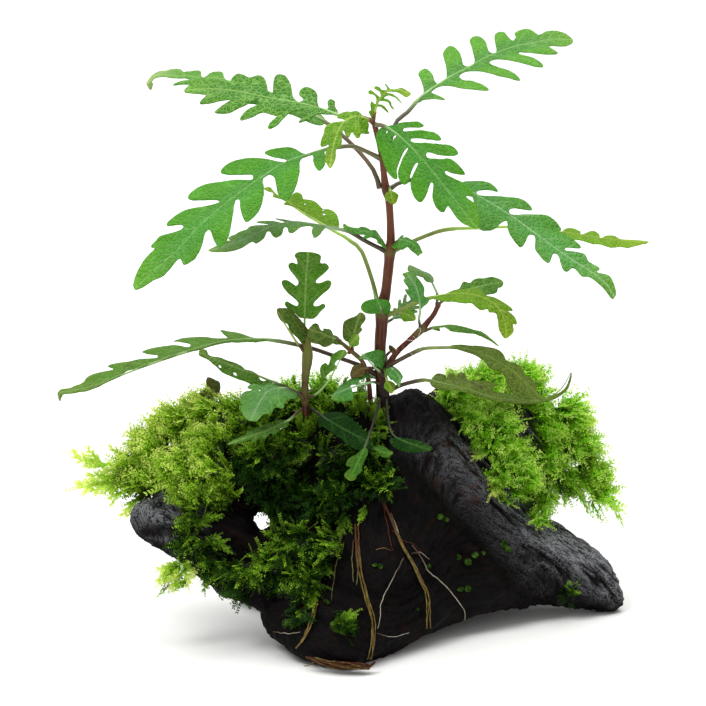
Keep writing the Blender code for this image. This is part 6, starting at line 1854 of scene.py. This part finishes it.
def make_tuft(paints):
    """The mat: fibres that wind about its middle line, brown and reddish by turns."""
    rng = np.random.default_rng(31)
    knots = np.array(TUFT)
    strands = []
    for i in range(FIBRES):
        start = rng.uniform(0, 0.6)
        shares = np.linspace(start, min(1, start + rng.uniform(0.3, 0.6)), 9)
        at = np.array([np.interp(shares, np.linspace(0, 1, len(knots)), knots[:, k]) for k in range(4)]).T
        turn = rng.uniform(0, 2 * math.pi) + np.linspace(0, rng.uniform(-2.5, 2.5), 9)
        off = at[:, 3] * rng.uniform(0.3, 1.0)
        places = np.array([
            seen(right, max(1.0, up + 0.75 * o * math.sin(a)), away + 1.3 * o * math.cos(a))
            for (right, up, away, _), o, a in zip(at, off, turn)])
        places[:, 2] = np.maximum(places[:, 2], 0.3 * MM)
        root = tube_along("fibre", places, [rng.uniform(0.1, 0.22)] * 9, sides=5)
        store(root, "foot", 0 if i % 3 else 1)
        smooth(root)
        root.data.materials.append(paints["tan" if i % 2 else "red"])
        strands.append(root)
    finish_piece(join(strands, "root_bottom_tuft"), ["root_bottom_tuft"])


# Small round leaves on the wood: right, up, radius in mm
ROUND_LEAVES = [
    (35, 39.2, 1.2), (38.3, 37.7, 1.4), (40.7, 40, 1.3), (43.5, 40.6, 0.8), (50.3, 43.3, 1.3),
    (51.7, 41.7, 1.2), (35.7, 28.7, 1.3), (38.3, 28.7, 1.2), (29, 52.7, 1.4), (31.2, 51.8, 0.9),
    (7.3, 36.7, 1), (9.2, 36.2, 0.9), (50.2, 44.6, 0.7), (25.2, 36.2, 0.8), (21.5, 22, 0.7),
]


def make_round_leaves(tree):
    """Thick little discs with a lobed edge, tilted towards the viewer, just in front of the wood."""
    p = Paints("round_leaves")
    base = p.tint(paint("162c06"), "3a5c10", p.noise(700, 2), 0.35, 0.7)
    p.set(Base_Color=base, Roughness=0.6, Specular_IOR_Level=0.06)
    discs = []
    for i, (right, up, radius) in enumerate(ROUND_LEAVES):
        away = front_of(tree, right, up)
        deselect()
        bpy.ops.mesh.primitive_uv_sphere_add(segments=14, ring_count=6, radius=radius * MM)
        disc = bpy.context.active_object
        places = points_of(disc)
        places[:, 2] *= 0.12
        places[:, 2] += 0.1 * MM * np.cos(3 * np.arctan2(places[:, 1], places[:, 0]) + i)
        turn = np.array(Matrix.Rotation(0.5 * math.sin(3 * i), 3, "X") @ Matrix.Rotation(0.9, 3, "X"))
        places = places @ turn.T
        set_points(disc, places + np.array(seen(right, up, away - 0.5)))
        smooth(disc)
        disc.data.materials.append(p.material)
        discs.append(disc)
    finish_piece(join(discs, "round_leaves"), [])


# Fine white threads at the side stem: points (right, up, away)
THREADS = [
    [(15, 110, 26), (18, 114, 24), (22.5, 115.5, 23), (21, 111, 24)],
    [(14, 113, 26), (19, 111.5, 23), (24, 112, 23)],
    [(13, 116, 27), (15, 112, 24), (14.5, 108, 26)],
    [(17, 109, 27), (20, 106.5, 24), (19.5, 104, 26)],
    [(20, 113, 25), (23, 109.5, 23), (24.5, 110.5, 23.5)],
]
THREAD_RADIUS = 0.07


def make_threads():
    """Hair-thin loose lines."""
    p = Paints("thread_white")
    p.set(Base_Color=paint("e4e2d8"), Roughness=0.5)
    threads = []
    for i, points in enumerate(THREADS):
        places, _ = follow(points, np.linspace(0, 1, 18))
        threads.append(tube_along("thread", places, [THREAD_RADIUS] * len(places), sides=4))
    hairs = join(threads, "threads")
    smooth(hairs)
    hairs.data.materials.append(p.material)
    finish_piece(hairs, [])


# Camera, light and floor, in metres and watts
FLOOR_SIZE = 8
WORLD_STRENGTH = 0.5
LIGHTS = {
    "light_overhead": ((0, 0.5, 2.2), 3.2, 68),
    "light_left": ((-0.7, -0.5, 1.3), 0.6, 9),
}
LIGHTS_AIM = (0, 0, 0.1)


def make_camera():
    data = bpy.data.cameras.new("camera")
    data.lens = data.sensor_width * VIEW_DISTANCE / VIEW_WIDTH
    data.clip_start = 0.01
    camera = put("camera", data)
    camera.location = MM * (MIDDLE - VIEW_DISTANCE * VIEW_AWAY)
    camera.rotation_euler = VIEW_AWAY.to_track_quat("-Z", "Y").to_euler()
    bpy.context.scene.camera = camera


def make_light(name, place, size, power):
    """A round soft light that looks at the middle of the object."""
    data = bpy.data.lights.new(name, "AREA")
    data.shape = "DISK"
    data.size = size
    data.energy = power
    light = put(name, data)
    light.location = place
    aim = Vector(LIGHTS_AIM) - Vector(place)
    light.rotation_euler = aim.to_track_quat("-Z", "Y").to_euler()


def make_surroundings():
    """A plain pale floor under soft studio light."""
    deselect()
    bpy.ops.mesh.primitive_plane_add(size=FLOOR_SIZE)
    floor = bpy.context.active_object
    floor.name = "floor"
    p = Paints("floor_white")
    p.set(Base_Color=paint("f4f4f2"), Roughness=0.9)
    floor.data.materials.append(p.material)
    world = bpy.data.worlds.new("studio")
    bpy.context.scene.world = world
    world.use_nodes = True
    background = world.node_tree.nodes["Background"]
    background.inputs["Color"].default_value = (1, 1, 1, 1)
    background.inputs["Strength"].default_value = WORLD_STRENGTH
    for name, (place, size, power) in LIGHTS.items():
        make_light(name, place, size, power)
    bpy.context.scene.view_settings.view_transform = "Standard"


make_camera()
make_surroundings()
make_leaves()
make_stems()
WOOD = make_driftwood()
make_moss(WOOD)
make_roots(WOOD)
make_round_leaves(WOOD)
make_threads()
